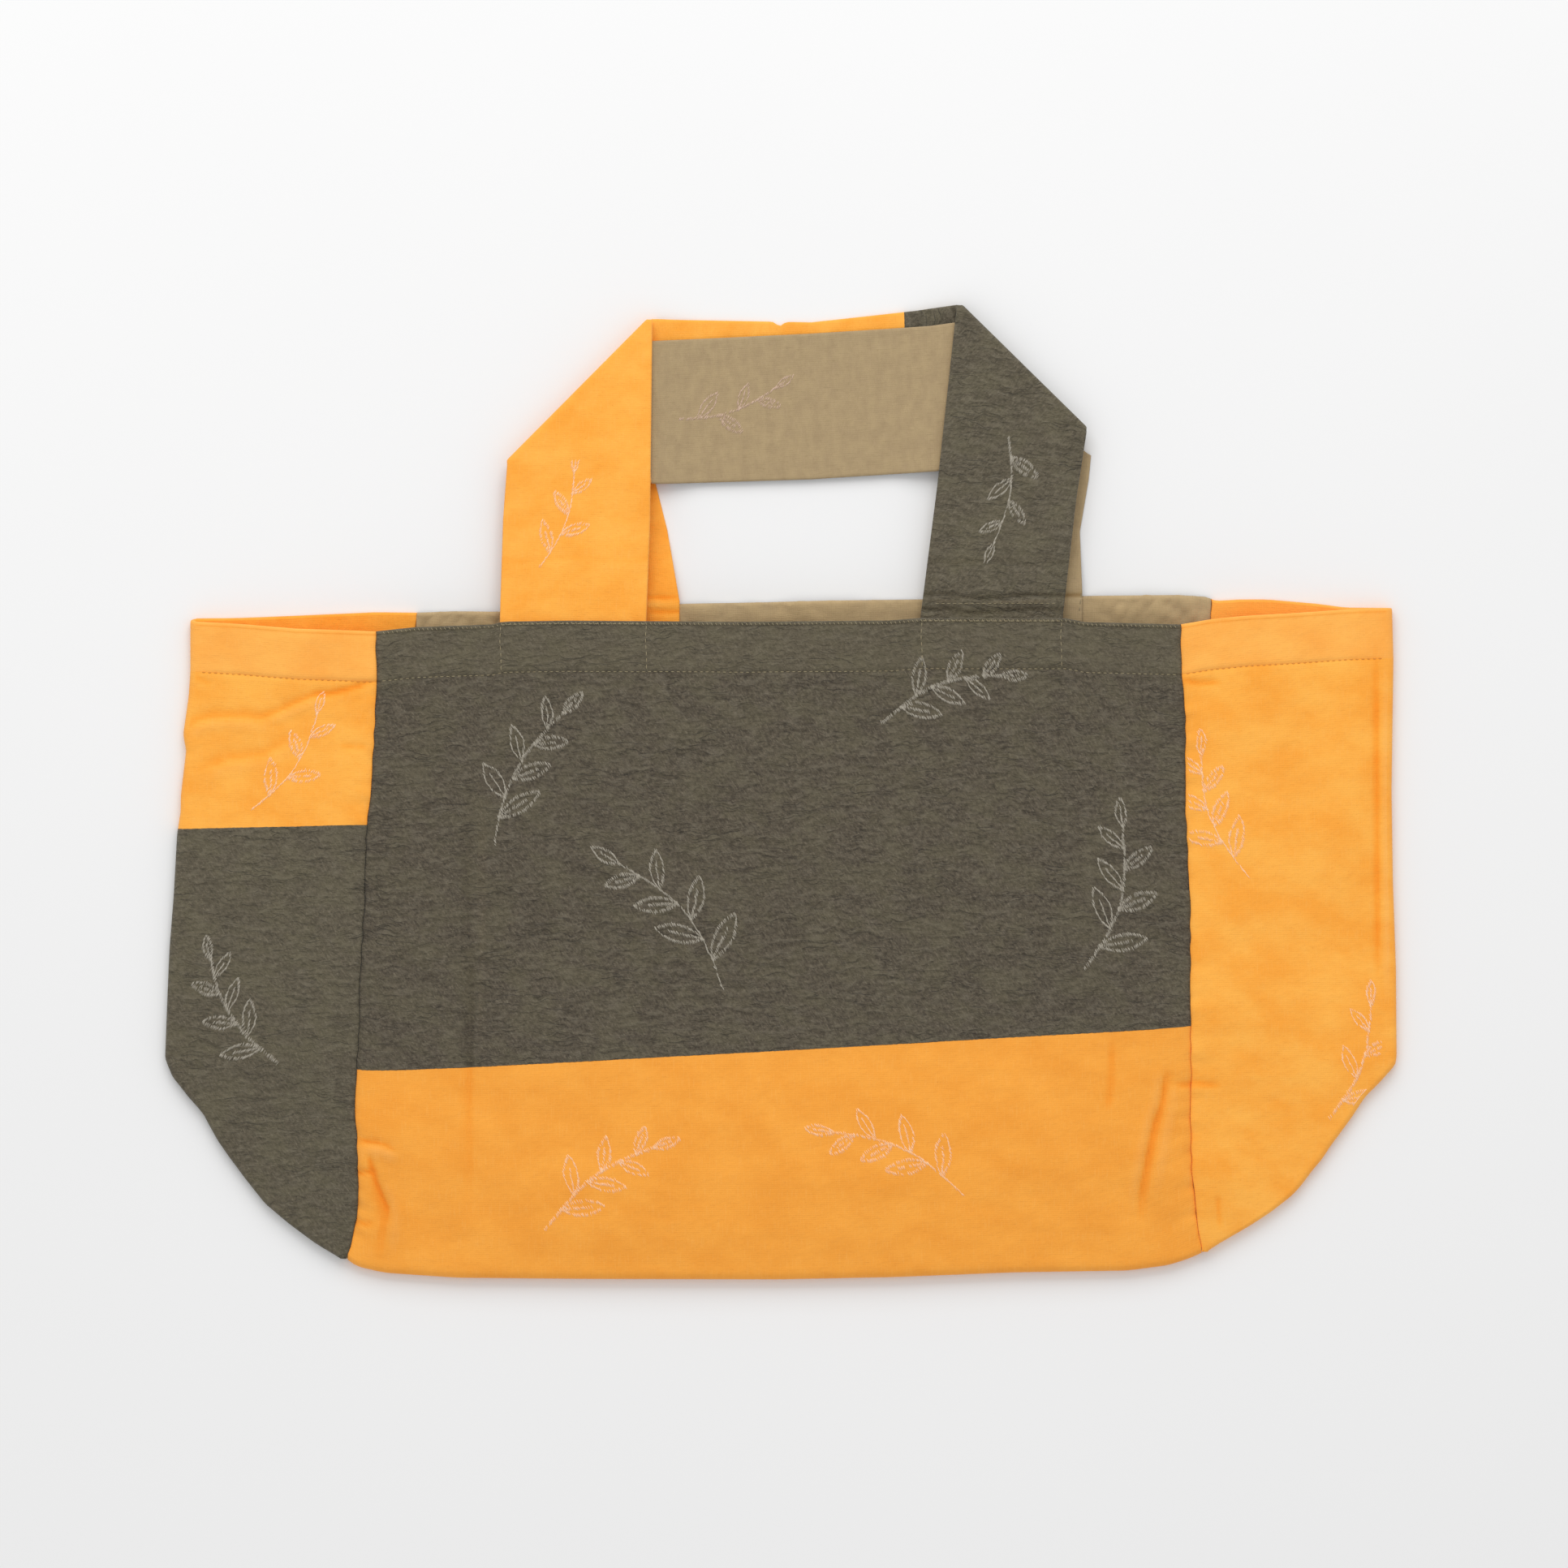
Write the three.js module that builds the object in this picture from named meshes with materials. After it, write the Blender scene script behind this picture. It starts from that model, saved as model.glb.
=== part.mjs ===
// Cloth tote bag lying flat on its back, in millimetres.
// +Z is up from the table, +Y runs from the bottom fold to the handles and +X to the bag's right.
// One long cloth runs down the front, round the bottom fold and up the back. A side panel is sewn
// into each side and folded in half, so it shows as a wing. The mouth has a turned hem, and the two
// flat straps are sewn inside it and folded over diagonally.

import * as THREE from 'three';

// Cloth and clearance
const wall = 1.2;
const strapThickness = 1.4;
const gap = 0.3;

// Body as it lies
const bodyDrop = 283.5; // front edge of the mouth down to the bottom fold
const panelWidth = 356; // seam to seam at half height
const leftWingWidth = 84; // seam to outer fold, at the widest
const rightWingWidth = 90;
const hemDepth = 22;
const mouthStagger = 11; // how far the back edge of the mouth shows above the front edge
const backShift = 15; // how far the back cloth lies to the right of the front at the mouth
const cornerRise = 11.5; // how far the bottom fold climbs towards the right seam

// Heights of the front cloth's middle surface
const loft = 12.6; // above the table, at the middle of the mouth
const creaseRise = 1; // tallest crease in the front cloth
const creaseBreadth = 12;

// Handles
const strapWidth = 63.5;
const legSpacing = 180; // centre to centre of a handle's two legs at the mouth
const handleRise = 137; // mouth to the top of the folded handles
const layerSlack = 1; // between one strap layer and the next where the straps are stacked
const hemLap = 0.95; // share of the hem's depth that a strap's end covers

// Mesh density
const stepLength = 16; // longest step along a strap, and the widest spacing of body rows
const panelColumns = 20;
const wingColumns = 7;
const underColumns = 4; // across a wing's half that lies on the table
const bendSteps = 4;
const strapColumns = 5;

// One row for each section down the body. down is a share of bodyDrop, each seam a share of half of
// panelWidth from the centre line, and each wing a share of that wing's width beyond the seam.
const sections = [
  { down: 0.000, leftSeam: 0.980, leftWing: 0.946, rightSeam: 0.967, rightWing: 1.014 },
  { down: 0.085, leftSeam: 0.978, leftWing: 0.965, rightSeam: 0.968, rightWing: 1.020 },
  { down: 0.148, leftSeam: 0.984, leftWing: 0.969, rightSeam: 0.978, rightWing: 0.996 },
  { down: 0.210, leftSeam: 0.988, leftWing: 0.968, rightSeam: 0.979, rightWing: 0.992 },
  { down: 0.320, leftSeam: 1.003, leftWing: 0.973, rightSeam: 0.981, rightWing: 0.987 },
  { down: 0.420, leftSeam: 1.007, leftWing: 0.982, rightSeam: 0.989, rightWing: 0.977 },
  { down: 0.550, leftSeam: 1.016, leftWing: 0.993, rightSeam: 0.990, rightWing: 0.988 },
  { down: 0.660, leftSeam: 1.023, leftWing: 0.993, rightSeam: 0.992, rightWing: 0.988 },
  { down: 0.672, leftSeam: 1.025, leftWing: 0.976, rightSeam: 0.992, rightWing: 0.982 },
  { down: 0.700, leftSeam: 1.027, leftWing: 0.911, rightSeam: 0.992, rightWing: 0.904 },
  { down: 0.748, leftSeam: 1.030, leftWing: 0.776, rightSeam: 0.991, rightWing: 0.782 },
  { down: 0.807, leftSeam: 1.024, leftWing: 0.676, rightSeam: 0.992, rightWing: 0.649 },
  { down: 0.843, leftSeam: 1.023, leftWing: 0.589, rightSeam: 0.994, rightWing: 0.556 },
  { down: 0.883, leftSeam: 1.024, leftWing: 0.481, rightSeam: 1.003, rightWing: 0.417 },
  { down: 0.912, leftSeam: 1.027, leftWing: 0.358, rightSeam: 1.008, rightWing: 0.277 },
  { down: 0.935, leftSeam: 1.036, leftWing: 0.236, rightSeam: 1.014, rightWing: 0.143 },
  { down: 0.960, leftSeam: 1.048, leftWing: 0.084, rightSeam: 1.019, rightWing: 0.000 },
  { down: 0.970, leftSeam: 1.053, leftWing: 0.020, rightSeam: 1.019, rightWing: 0.000 },
];
const lastLevelSection = 0.935; // below this, rows of cloth bend towards the bottom fold
const rimFade = 0.3; // share of bodyDrop over which rows lose the mouth's wave

// Edges of the mouth above its nominal line, as shares of mouthStagger. across runs from seam to
// seam (-1 to 1) on the panel, and from seam to outer fold (0 to 1) on a wing.
const panelRim = [
  { across: -1.00, front: -0.41, back: 0.38 },
  { across: -0.91, front: -0.22, back: 0.40 },
  { across: -0.70, front: -0.10, back: 0.38 },
  { across: -0.60, front: 0.00, back: 0.42 },
  { across: -0.20, front: 0.00, back: 0.72 },
  { across: 0.10, front: 0.01, back: 0.84 },
  { across: 0.33, front: 0.14, back: 0.88 },
  { across: 0.70, front: 0.13, back: 1.00 },
  { across: 0.77, front: -0.02, back: 1.01 },
  { across: 1.00, front: -0.10, back: 1.00 },
];
const leftRim = [
  { across: 0.00, front: -0.40, back: 0.38 },
  { across: 0.45, front: -0.28, back: 0.24 },
  { across: 0.75, front: -0.10, back: 0.16 },
  { across: 1.00, front: 0.02, back: 0.12 },
];
const rightRim = [
  { across: 0.00, front: -0.08, back: 1.00 },
  { across: 0.18, front: 0.12, back: 0.82 },
  { across: 0.40, front: 0.26, back: 0.88 },
  { across: 0.65, front: 0.38, back: 0.70 },
  { across: 0.82, front: 0.48, back: 0.54 },
  { across: 1.00, front: 0.54, back: 0.54 },
];

// Rise of the bottom fold above its lowest point, as a share of cornerRise, from seam to seam.
const bottomEdge = [
  { across: -1.00, rise: 0.75 },
  { across: -0.97, rise: 0.48 },
  { across: -0.91, rise: 0.25 },
  { across: -0.74, rise: 0.06 },
  { across: 0.00, rise: 0.00 },
  { across: 0.28, rise: 0.09 },
  { across: 0.55, rise: 0.26 },
  { across: 0.82, rise: 0.34 },
  { across: 0.92, rise: 0.54 },
  { across: 0.97, rise: 0.78 },
  { across: 1.00, rise: 1.00 },
];

// Height of the front cloth as shares of loft: on the centre line, at the seams, at the outer folds.
const heights = [
  { down: 0.00, middle: 1.00, seam: 0.84, fold: 0.42 },
  { down: 0.15, middle: 0.96, seam: 0.80, fold: 0.40 },
  { down: 0.60, middle: 0.92, seam: 0.76, fold: 0.38 },
  { down: 0.85, middle: 0.86, seam: 0.62, fold: 0.38 },
  { down: 0.94, middle: 0.70, seam: 0.42, fold: 0.38 },
  { down: 1.00, middle: 0.50, seam: 0.38, fold: 0.38 },
];

// Soft creases in the front cloth. x is a share of half of panelWidth, down and length are shares
// of bodyDrop, lean is in degrees off straight down, breadth and rise are shares of the crease sizes.
const creases = [
  { x: -0.74, down: 0.66, length: 0.60, lean: 0, breadth: 0.9, rise: -0.7 },
  { x: -0.96, down: 0.80, length: 0.16, lean: 24, breadth: 0.7, rise: 0.8 },
  { x: -0.88, down: 0.90, length: 0.14, lean: -32, breadth: 0.8, rise: -0.8 },
  { x: 0.86, down: 0.79, length: 0.22, lean: -18, breadth: 0.9, rise: 0.8 },
  { x: 0.90, down: 0.90, length: 0.16, lean: -46, breadth: 0.8, rise: -0.7 },
  { x: 0.30, down: 0.55, length: 0.80, lean: 6, breadth: 2.0, rise: 0.5 },
  { x: -1.25, down: 0.45, length: 0.50, lean: 2, breadth: 1.4, rise: 0.6 },
  { x: 1.36, down: 0.24, length: 0.36, lean: 0, breadth: 0.8, rise: 0.7 },
];

// Where each strap runs, one row for each crossing line, from the left foot to the right foot.
// x is a share of legSpacing from the centre line and up a share of handleRise above the mouth.
// turn is the line's direction in degrees, span its length as a share of strapWidth, and layer
// counts the strap layers from the table. A fold row is the crease of a diagonal fold.
const frontStrap = {
  leftFoot: { x: -0.497, span: 0.995, turn: 0 },
  rightFoot: { x: 0.504, span: 0.965, turn: 180 },
  rows: [
    { x: -0.489, up: 0.322, turn: 0, span: 0.998, layer: 3 },
    { x: -0.491, up: 0.726, turn: 45.2, span: 1.384, layer: 3, fold: true },
    { x: -0.306, up: 0.657, turn: 93.6, span: 0.972, layer: 2 },
    { x: 0.073, up: 0.677, turn: 90, span: 0.990, layer: 2 },
    { x: 0.365, up: 0.701, turn: 92.9, span: 0.988, layer: 2 },
    { x: 0.583, up: 0.796, turn: 134.2, span: 1.207, layer: 2, fold: true },
    { x: 0.540, up: 0.404, turn: 174.6, span: 0.947, layer: 3 },
  ],
};
const backStrap = {
  leftFoot: { x: -0.419, span: 1.000, turn: 0 },
  rightFoot: { x: 0.545, span: 1.000, turn: 180 },
  rows: [
    { x: -0.448, up: 0.268, turn: 5, span: 1.000, layer: 0 },
    { x: -0.477, up: 0.715, turn: 46.5, span: 1.353, layer: 0, fold: true },
    { x: -0.249, up: 0.720, turn: 90, span: 0.992, layer: 1 },
    { x: 0.073, up: 0.715, turn: 90, span: 0.980, layer: 1 },
    { x: 0.326, up: 0.750, turn: 90, span: 0.987, layer: 1 },
    { x: 0.587, up: 0.776, turn: 132.2, span: 1.280, layer: 1, fold: true },
    { x: 0.561, up: 0.449, turn: 180, span: 1.000, layer: 0 },
    { x: 0.540, up: 0.283, turn: 180, span: 0.998, layer: 0 },
  ],
};

const lerp = THREE.MathUtils.lerp;
const backHeight = wall / 2; // middle surface of the cloth that lies on the table
const hemThickness = 2 * wall;

// Value of a table's column at a place along its key column, straight between rows.
function along(table, key, column, at) {
  const next = table.findIndex((row) => row[key] >= at);
  if (next === 0) return table[0][column];
  if (next < 0) return table.at(-1)[column];
  const before = table[next - 1];
  const after = table[next];
  const share = (at - before[key]) / (after[key] - before[key]);
  return lerp(before[column], after[column], share);
}

const downAt = (y) => -y / bodyDrop;

// Distance of a side's seam from the centre line and its wing's reach beyond it, at height y.
const seamReach = (side, y) => (along(sections, 'down', side.seam, downAt(y)) * panelWidth) / 2;
const wingReach = (side, y) => along(sections, 'down', side.wing, downAt(y)) * side.wingWidth;

const left = { sign: -1, seam: 'leftSeam', wing: 'leftWing', wingWidth: leftWingWidth, rim: leftRim };
const right = { sign: 1, seam: 'rightSeam', wing: 'rightWing', wingWidth: rightWingWidth, rim: rightRim };

// The back cloth lies shifted to the right at the mouth and level with the front at the bottom.
const shiftAt = (y, layer) => (layer === 'back' ? backShift * (1 - Math.min(1, downAt(y))) : 0);
const seamX = (side, y, layer) => side.sign * seamReach(side, y) + shiftAt(y, layer);
const foldX = (side, y) => side.sign * (seamReach(side, y) + wingReach(side, y));

// Height that the creases add to the front cloth at a point.
function creaseHeight(x, y) {
  let total = 0;
  for (const crease of creases) {
    const lean = THREE.MathUtils.degToRad(crease.lean);
    const dx = x - (crease.x * panelWidth) / 2;
    const dy = y + crease.down * bodyDrop;
    const aside = (dx * Math.cos(lean) - dy * Math.sin(lean)) / (crease.breadth * creaseBreadth);
    const onward = (dx * Math.sin(lean) + dy * Math.cos(lean)) / (0.5 * crease.length * bodyDrop);
    total += crease.rise * creaseRise * Math.exp(-aside * aside - Math.pow(onward, 4));
  }
  return total;
}

// Height of the front cloth's middle surface, on the panel and on a wing.
function panelHeight(across, x, y) {
  const seam = along(heights, 'down', 'seam', downAt(y));
  const middle = along(heights, 'down', 'middle', downAt(y));
  return loft * lerp(middle, seam, Math.pow(Math.abs(across), 4)) + creaseHeight(x, y);
}
function wingHeight(share, x, y) {
  const seam = along(heights, 'down', 'seam', downAt(y));
  const fold = along(heights, 'down', 'fold', downAt(y));
  return loft * lerp(seam, fold, share) + creaseHeight(x, y) * (1 - share * share);
}
function panelHeightAt(x, y) {
  const low = seamX(left, y, 'front');
  const high = seamX(right, y, 'front');
  return panelHeight((2 * (x - low)) / (high - low) - 1, x, y);
}

// Distances below the mouth line at which the rows of every body cloth lie: through the hem, then
// at the sections, with a row between any two that are far apart. The last row is where the bottom
// fold begins to bend. Sharing the rows keeps the seams' two edges parallel.
const hemRows = [0, hemDepth / 2, hemDepth, hemDepth + wall];
const rowDepths = [...hemRows];
for (const { down } of sections) {
  const depth = down * bodyDrop;
  const before = rowDepths.at(-1);
  if (down > lastLevelSection || depth < before + wall) continue;
  if (depth - before > stepLength) rowDepths.push((depth + before) / 2);
  rowDepths.push(depth);
}
const inHem = (k) => k <= hemRows.indexOf(hemDepth);
const insideReach = (k) => (inHem(k) ? hemThickness : wall) - wall / 2;

// Bottom fold at a place across the panel: its radius, and the height y where its bend begins.
function bottomBend(across) {
  const { middle, seam } = heights.at(-1);
  const top = loft * lerp(middle, seam, Math.pow(Math.abs(across), 4));
  const bend = (top - backHeight) / 2;
  const lowest = -bodyDrop + cornerRise * along(bottomEdge, 'across', 'rise', across);
  return { bend, bendY: lowest + wall / 2 + bend };
}

// Height y of row k where the rim stands rim above the mouth line and the bend begins at bendY.
function rowY(k, rim, bendY) {
  if (k === rowDepths.length) return bendY;
  const fade = (rowDepths[k] - hemRows.at(-1)) / (rimFade * bodyDrop);
  return rim * (1 - THREE.MathUtils.clamp(fade, 0, 1)) - rowDepths[k];
}

// Closed solid of a cloth from rows of points on its middle surface. Its outer face is on the side
// of (down the rows) x (along a row), and insideAt gives how far it reaches inwards at each row.
function clothGeometry(rows, outside, insideAt) {
  const rowCount = rows.length;
  const columnCount = rows[0].length;
  const positions = [];
  const sideways = new THREE.Vector3();
  const onward = new THREE.Vector3();
  const push = (point, normal, distance) => {
    const placed = point.clone().addScaledVector(normal, distance);
    positions.push(placed.x, placed.y, placed.z);
  };
  const normals = rows.map((row, i) => row.map((point, j) => {
    onward.subVectors(rows[Math.min(i + 1, rowCount - 1)][j], rows[Math.max(i - 1, 0)][j]);
    sideways.subVectors(row[Math.min(j + 1, columnCount - 1)], row[Math.max(j - 1, 0)]);
    return new THREE.Vector3().crossVectors(onward, sideways).normalize();
  }));
  rows.forEach((row, i) => row.forEach((point, j) => push(point, normals[i][j], outside)));
  rows.forEach((row, i) => row.forEach((point, j) => push(point, normals[i][j], -insideAt(i))));

  const outer = (i, j) => i * columnCount + j;
  const inner = (i, j) => rowCount * columnCount + outer(i, j);
  const index = [];
  const quad = (a, b, c, d) => index.push(a, b, c, a, c, d);
  for (let i = 0; i + 1 < rowCount; i += 1) {
    for (let j = 0; j + 1 < columnCount; j += 1) {
      quad(outer(i, j), outer(i + 1, j), outer(i + 1, j + 1), outer(i, j + 1));
      quad(inner(i, j), inner(i, j + 1), inner(i + 1, j + 1), inner(i + 1, j));
    }
  }
  const lastRow = rowCount - 1;
  const lastColumn = columnCount - 1;
  for (let j = 0; j < lastColumn; j += 1) {
    quad(outer(0, j), outer(0, j + 1), inner(0, j + 1), inner(0, j));
    quad(outer(lastRow, j), inner(lastRow, j), inner(lastRow, j + 1), outer(lastRow, j + 1));
  }
  for (let i = 0; i < lastRow; i += 1) {
    quad(outer(i, 0), inner(i, 0), inner(i + 1, 0), outer(i + 1, 0));
    quad(outer(i, lastColumn), outer(i + 1, lastColumn), inner(i + 1, lastColumn), inner(i, lastColumn));
  }
  const geometry = new THREE.BufferGeometry();
  geometry.setAttribute('position', new THREE.Float32BufferAttribute(positions, 3));
  geometry.setIndex(index);
  geometry.computeVertexNormals();
  return geometry;
}

// Long cloth of the front, bottom and back. Its columns crowd towards the seams.
function panelGeometry() {
  const columns = Array.from({ length: panelColumns + 1 }, (_, j) => {
    const across = Math.sin(Math.PI * (j / panelColumns - 0.5));
    return {
      across,
      ...bottomBend(across),
      front: mouthStagger * along(panelRim, 'across', 'front', across),
      back: mouthStagger * along(panelRim, 'across', 'back', across),
    };
  });
  const place = (column, y, layer) => {
    const low = seamX(left, y, layer) + gap / 2;
    const high = seamX(right, y, layer) - gap / 2;
    return lerp(low, high, (column.across + 1) / 2);
  };
  const rows = [];
  const inside = [];
  for (let k = 0; k <= rowDepths.length; k += 1) {
    rows.push(columns.map((column) => {
      const y = rowY(k, column.front, column.bendY);
      const x = place(column, y, 'front');
      const atBend = backHeight + 2 * column.bend;
      const z = k === rowDepths.length ? atBend : panelHeight(column.across, x, y);
      return new THREE.Vector3(x, y, z);
    }));
    inside.push(insideReach(k));
  }
  for (let step = 1; step < bendSteps; step += 1) {
    const angle = (Math.PI * step) / bendSteps;
    rows.push(columns.map((column) => {
      const x = lerp(
        place(column, column.bendY, 'front'),
        place(column, column.bendY, 'back'),
        step / bendSteps,
      );
      const y = column.bendY - column.bend * Math.sin(angle);
      return new THREE.Vector3(x, y, backHeight + column.bend * (1 + Math.cos(angle)));
    }));
    inside.push(wall / 2);
  }
  for (let k = rowDepths.length; k >= 0; k -= 1) {
    rows.push(columns.map((column) => {
      const y = rowY(k, column.back, column.bendY);
      return new THREE.Vector3(place(column, y, 'back'), y, backHeight);
    }));
    inside.push(insideReach(k));
  }
  return clothGeometry(rows, wall / 2, (i) => inside[i]);
}

// Side panel folded in half along its outer edge, from the mouth down to its narrow lower end. Its
// two halves meet the panel's seams, and both close in on the outer fold.
function wingGeometry(side) {
  const { bendY } = bottomBend(side.sign);
  const bendAt = (y) => (loft * along(heights, 'down', 'fold', downAt(y)) - backHeight) / 2;
  const outerX = (y) => foldX(side, y) - (side.sign * wall) / 2;
  const edgeX = (y) => outerX(y) - side.sign * bendAt(y);
  const at = (k, share, layer) => {
    const y = rowY(k, mouthStagger * along(side.rim, 'across', layer, share), bendY);
    const seam = seamX(side, y, layer) + (side.sign * gap) / 2;
    return { x: lerp(seam, edgeX(y), share), y };
  };
  const rows = [];
  for (let k = 0; k <= rowDepths.length; k += 1) {
    const upper = Array.from({ length: wingColumns + 1 }, (_, j) => {
      const share = j / wingColumns;
      const { x, y } = at(k, share, 'front');
      return new THREE.Vector3(x, y, wingHeight(share, x, y));
    });
    const lower = Array.from({ length: underColumns + 1 }, (_, j) => {
      const { x, y } = at(k, 1 - j / underColumns, 'back');
      return new THREE.Vector3(x, y, backHeight);
    });
    const round = Array.from({ length: bendSteps - 1 }, (_, j) => {
      const angle = (Math.PI * (j + 1)) / bendSteps;
      const y = lerp(upper.at(-1).y, lower[0].y, (j + 1) / bendSteps);
      const bend = bendAt(y);
      const x = outerX(y) - side.sign * bend * (1 - Math.sin(angle));
      return new THREE.Vector3(x, y, backHeight + bend * (1 + Math.cos(angle)));
    });
    const row = [...upper, ...round, ...lower];
    rows.push(side.sign > 0 ? row : row.reverse());
  }
  return clothGeometry(rows, wall / 2, insideReach);
}

const layerHeight = (layer) => strapThickness / 2 + layer * (strapThickness + layerSlack);

// Crossing line of a strap as its two edge points, with its height.
function crossing(row, y, z) {
  const turn = THREE.MathUtils.degToRad(row.turn);
  const half = (row.span * strapWidth) / 2;
  const centre = new THREE.Vector3(row.x * legSpacing, y, z);
  const reach = new THREE.Vector3(Math.cos(turn) * half, Math.sin(turn) * half, 0);
  return { start: centre.clone().sub(reach), end: centre.clone().add(reach) };
}

// Crossing lines round a diagonal fold. They stay parallel to the crease, and inwards is the side
// on which both layers lie.
function foldLines(row, nextLayer, inwards) {
  const bend = Math.abs(layerHeight(nextLayer) - layerHeight(row.layer)) / 2;
  const middle = (layerHeight(nextLayer) + layerHeight(row.layer)) / 2;
  const down = Math.sign(layerHeight(row.layer) - layerHeight(nextLayer));
  return Array.from({ length: bendSteps + 1 }, (_, step) => {
    const angle = (Math.PI * step) / bendSteps;
    const aside = strapThickness / 2 + bend * (1 - Math.sin(angle));
    const line = crossing(row, row.up * handleRise, middle + down * bend * Math.cos(angle));
    line.start.addScaledVector(inwards, aside);
    line.end.addScaledVector(inwards, aside);
    return line;
  });
}

// Strap from foot to foot. heightAt gives its height where it lies against the hem.
function strapGeometry(strap, rim, lift, heightAt) {
  const lines = [];
  const foot = (row, y) => {
    const line = crossing(row, y, 0);
    line.against = true;
    return line;
  };
  const rimAt = (row) => {
    const across = (2 * row.x * legSpacing) / panelWidth;
    return mouthStagger * along(panelRim, 'across', rim, across);
  };
  lines.push(foot(strap.leftFoot, rimAt(strap.leftFoot) - hemLap * hemDepth));
  lines.push(foot(strap.leftFoot, rimAt(strap.leftFoot) + lift));
  strap.rows.forEach((row, k) => {
    if (row.fold) {
      const turn = THREE.MathUtils.degToRad(row.turn);
      const inwards = new THREE.Vector3(Math.sin(turn), -Math.cos(turn), 0);
      lines.push(...foldLines(row, strap.rows[k + 1].layer, inwards));
    } else {
      lines.push(crossing(row, row.up * handleRise, layerHeight(row.layer)));
    }
  });
  lines.push(foot(strap.rightFoot, rimAt(strap.rightFoot) + lift));
  lines.push(foot(strap.rightFoot, rimAt(strap.rightFoot) - hemLap * hemDepth));

  const pointOn = (line, share) => {
    const point = new THREE.Vector3().lerpVectors(line.start, line.end, share);
    if (line.against) point.z = heightAt(point.x, point.y);
    return point;
  };
  const rows = [];
  lines.forEach((line, k) => {
    const shares = Array.from({ length: strapColumns + 1 }, (_, j) => j / strapColumns);
    const next = lines[k + 1];
    const longest = next ? Math.max(line.start.distanceTo(next.start), line.end.distanceTo(next.end)) : 0;
    const steps = Math.max(1, Math.ceil(longest / stepLength));
    const here = shares.map((share) => pointOn(line, share));
    rows.push(here);
    for (let step = 1; next && step < steps; step += 1) {
      rows.push(shares.map((share, j) => here[j].clone().lerp(pointOn(next, share), step / steps)));
    }
  });
  return clothGeometry(rows, strapThickness / 2, () => strapThickness / 2);
}

// The front strap hangs under the front hem and the back strap lies on the back hem.
const underFrontHem = (x, y) => {
  const underside = panelHeightAt(x, Math.min(y, 0)) + wall / 2 - hemThickness;
  return underside - gap - strapThickness / 2;
};
const onBackHem = () => hemThickness + gap + strapThickness / 2;
const backLift = 2; // stretch past the back edge before the back strap sinks to the table

function cloth(name, geometry, color) {
  const mesh = new THREE.Mesh(
    geometry,
    new THREE.MeshStandardMaterial({ color, roughness: 0.9, metalness: 0 }),
  );
  mesh.name = name;
  return mesh;
}

const body = new THREE.Group();
body.add(cloth('main_panel', panelGeometry(), 0x5c5547));
body.add(cloth('left_side_panel', wingGeometry(left), 0xfbad4c));
body.add(cloth('right_side_panel', wingGeometry(right), 0xf8a848));

const handles = new THREE.Group();
handles.add(cloth('front_handle', strapGeometry(frontStrap, 'front', 0, underFrontHem), 0xac9674));
handles.add(cloth('back_handle', strapGeometry(backStrap, 'back', backLift, onBackHem), 0xf8b058));

const tote = new THREE.Group();
tote.add(body, handles);

// The origin is the middle of the bag's outline, on the table.
const outline = new THREE.Box3().setFromObject(tote);
const middle = outline.getCenter(new THREE.Vector3());
tote.position.set(-middle.x, -middle.y, -outline.min.z);
tote.updateMatrixWorld(true);

export default tote;
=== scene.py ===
import bpy
import numpy as np
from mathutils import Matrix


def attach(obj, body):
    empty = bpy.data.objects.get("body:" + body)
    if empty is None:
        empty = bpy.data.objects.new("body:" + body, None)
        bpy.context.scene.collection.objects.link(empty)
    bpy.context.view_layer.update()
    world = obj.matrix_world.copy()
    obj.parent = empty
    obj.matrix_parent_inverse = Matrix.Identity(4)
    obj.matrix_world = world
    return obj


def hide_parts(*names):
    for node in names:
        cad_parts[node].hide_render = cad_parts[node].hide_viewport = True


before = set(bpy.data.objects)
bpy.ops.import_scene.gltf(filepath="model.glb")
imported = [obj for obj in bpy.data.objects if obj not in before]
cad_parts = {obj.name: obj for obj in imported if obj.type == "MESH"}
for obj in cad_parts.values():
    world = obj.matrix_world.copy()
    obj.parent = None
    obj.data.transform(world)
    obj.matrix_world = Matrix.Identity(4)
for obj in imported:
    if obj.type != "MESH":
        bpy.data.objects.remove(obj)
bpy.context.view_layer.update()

# Photographer's table. The bag lies on a smooth, pale, matt surface. A broad soft light stands
# beyond the handles and the white room fills in the rest. The camera looks straight down.
picture_width = 0.6762  # metres of table across the picture
lens = 300.0
sensor = 36.0
camera_data = bpy.data.cameras.new("camera")
camera_data.lens = lens
camera_data.sensor_width = sensor
camera_data.clip_end = 20.0
camera = bpy.data.objects.new("camera", camera_data)
camera.location = (0.0013, 0.0028, picture_width * lens / sensor)
scene = bpy.context.scene
scene.collection.objects.link(camera)
scene.camera = camera
scene.view_settings.view_transform = "Standard"


def linear(colour):
    """Turns an sRGB hex colour into linear RGBA."""
    srgb = np.array([int(colour[i:i + 2], 16) for i in (1, 3, 5)]) / 255
    rgb = np.where(srgb <= 0.04045, srgb / 12.92, ((srgb + 0.055) / 1.055) ** 2.4)
    return (*rgb.tolist(), 1.0)


def add_node(tree, kind, inputs=None, **settings):
    """Adds one shader node, applies its settings and fills its inputs with values or links."""
    node = tree.nodes.new("ShaderNode" + kind)
    for name, value in settings.items():
        setattr(node, name, value)
    for socket, value in (inputs or {}).items():
        if isinstance(value, bpy.types.NodeSocket):
            tree.links.new(value, node.inputs[socket])
        else:
            node.inputs[socket].default_value = value
    return node


def new_material(name):
    """An empty material of that name, with its node tree."""
    material = bpy.data.materials.new(name)
    material.use_nodes = True
    material.node_tree.nodes.clear()
    return material, material.node_tree


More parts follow.
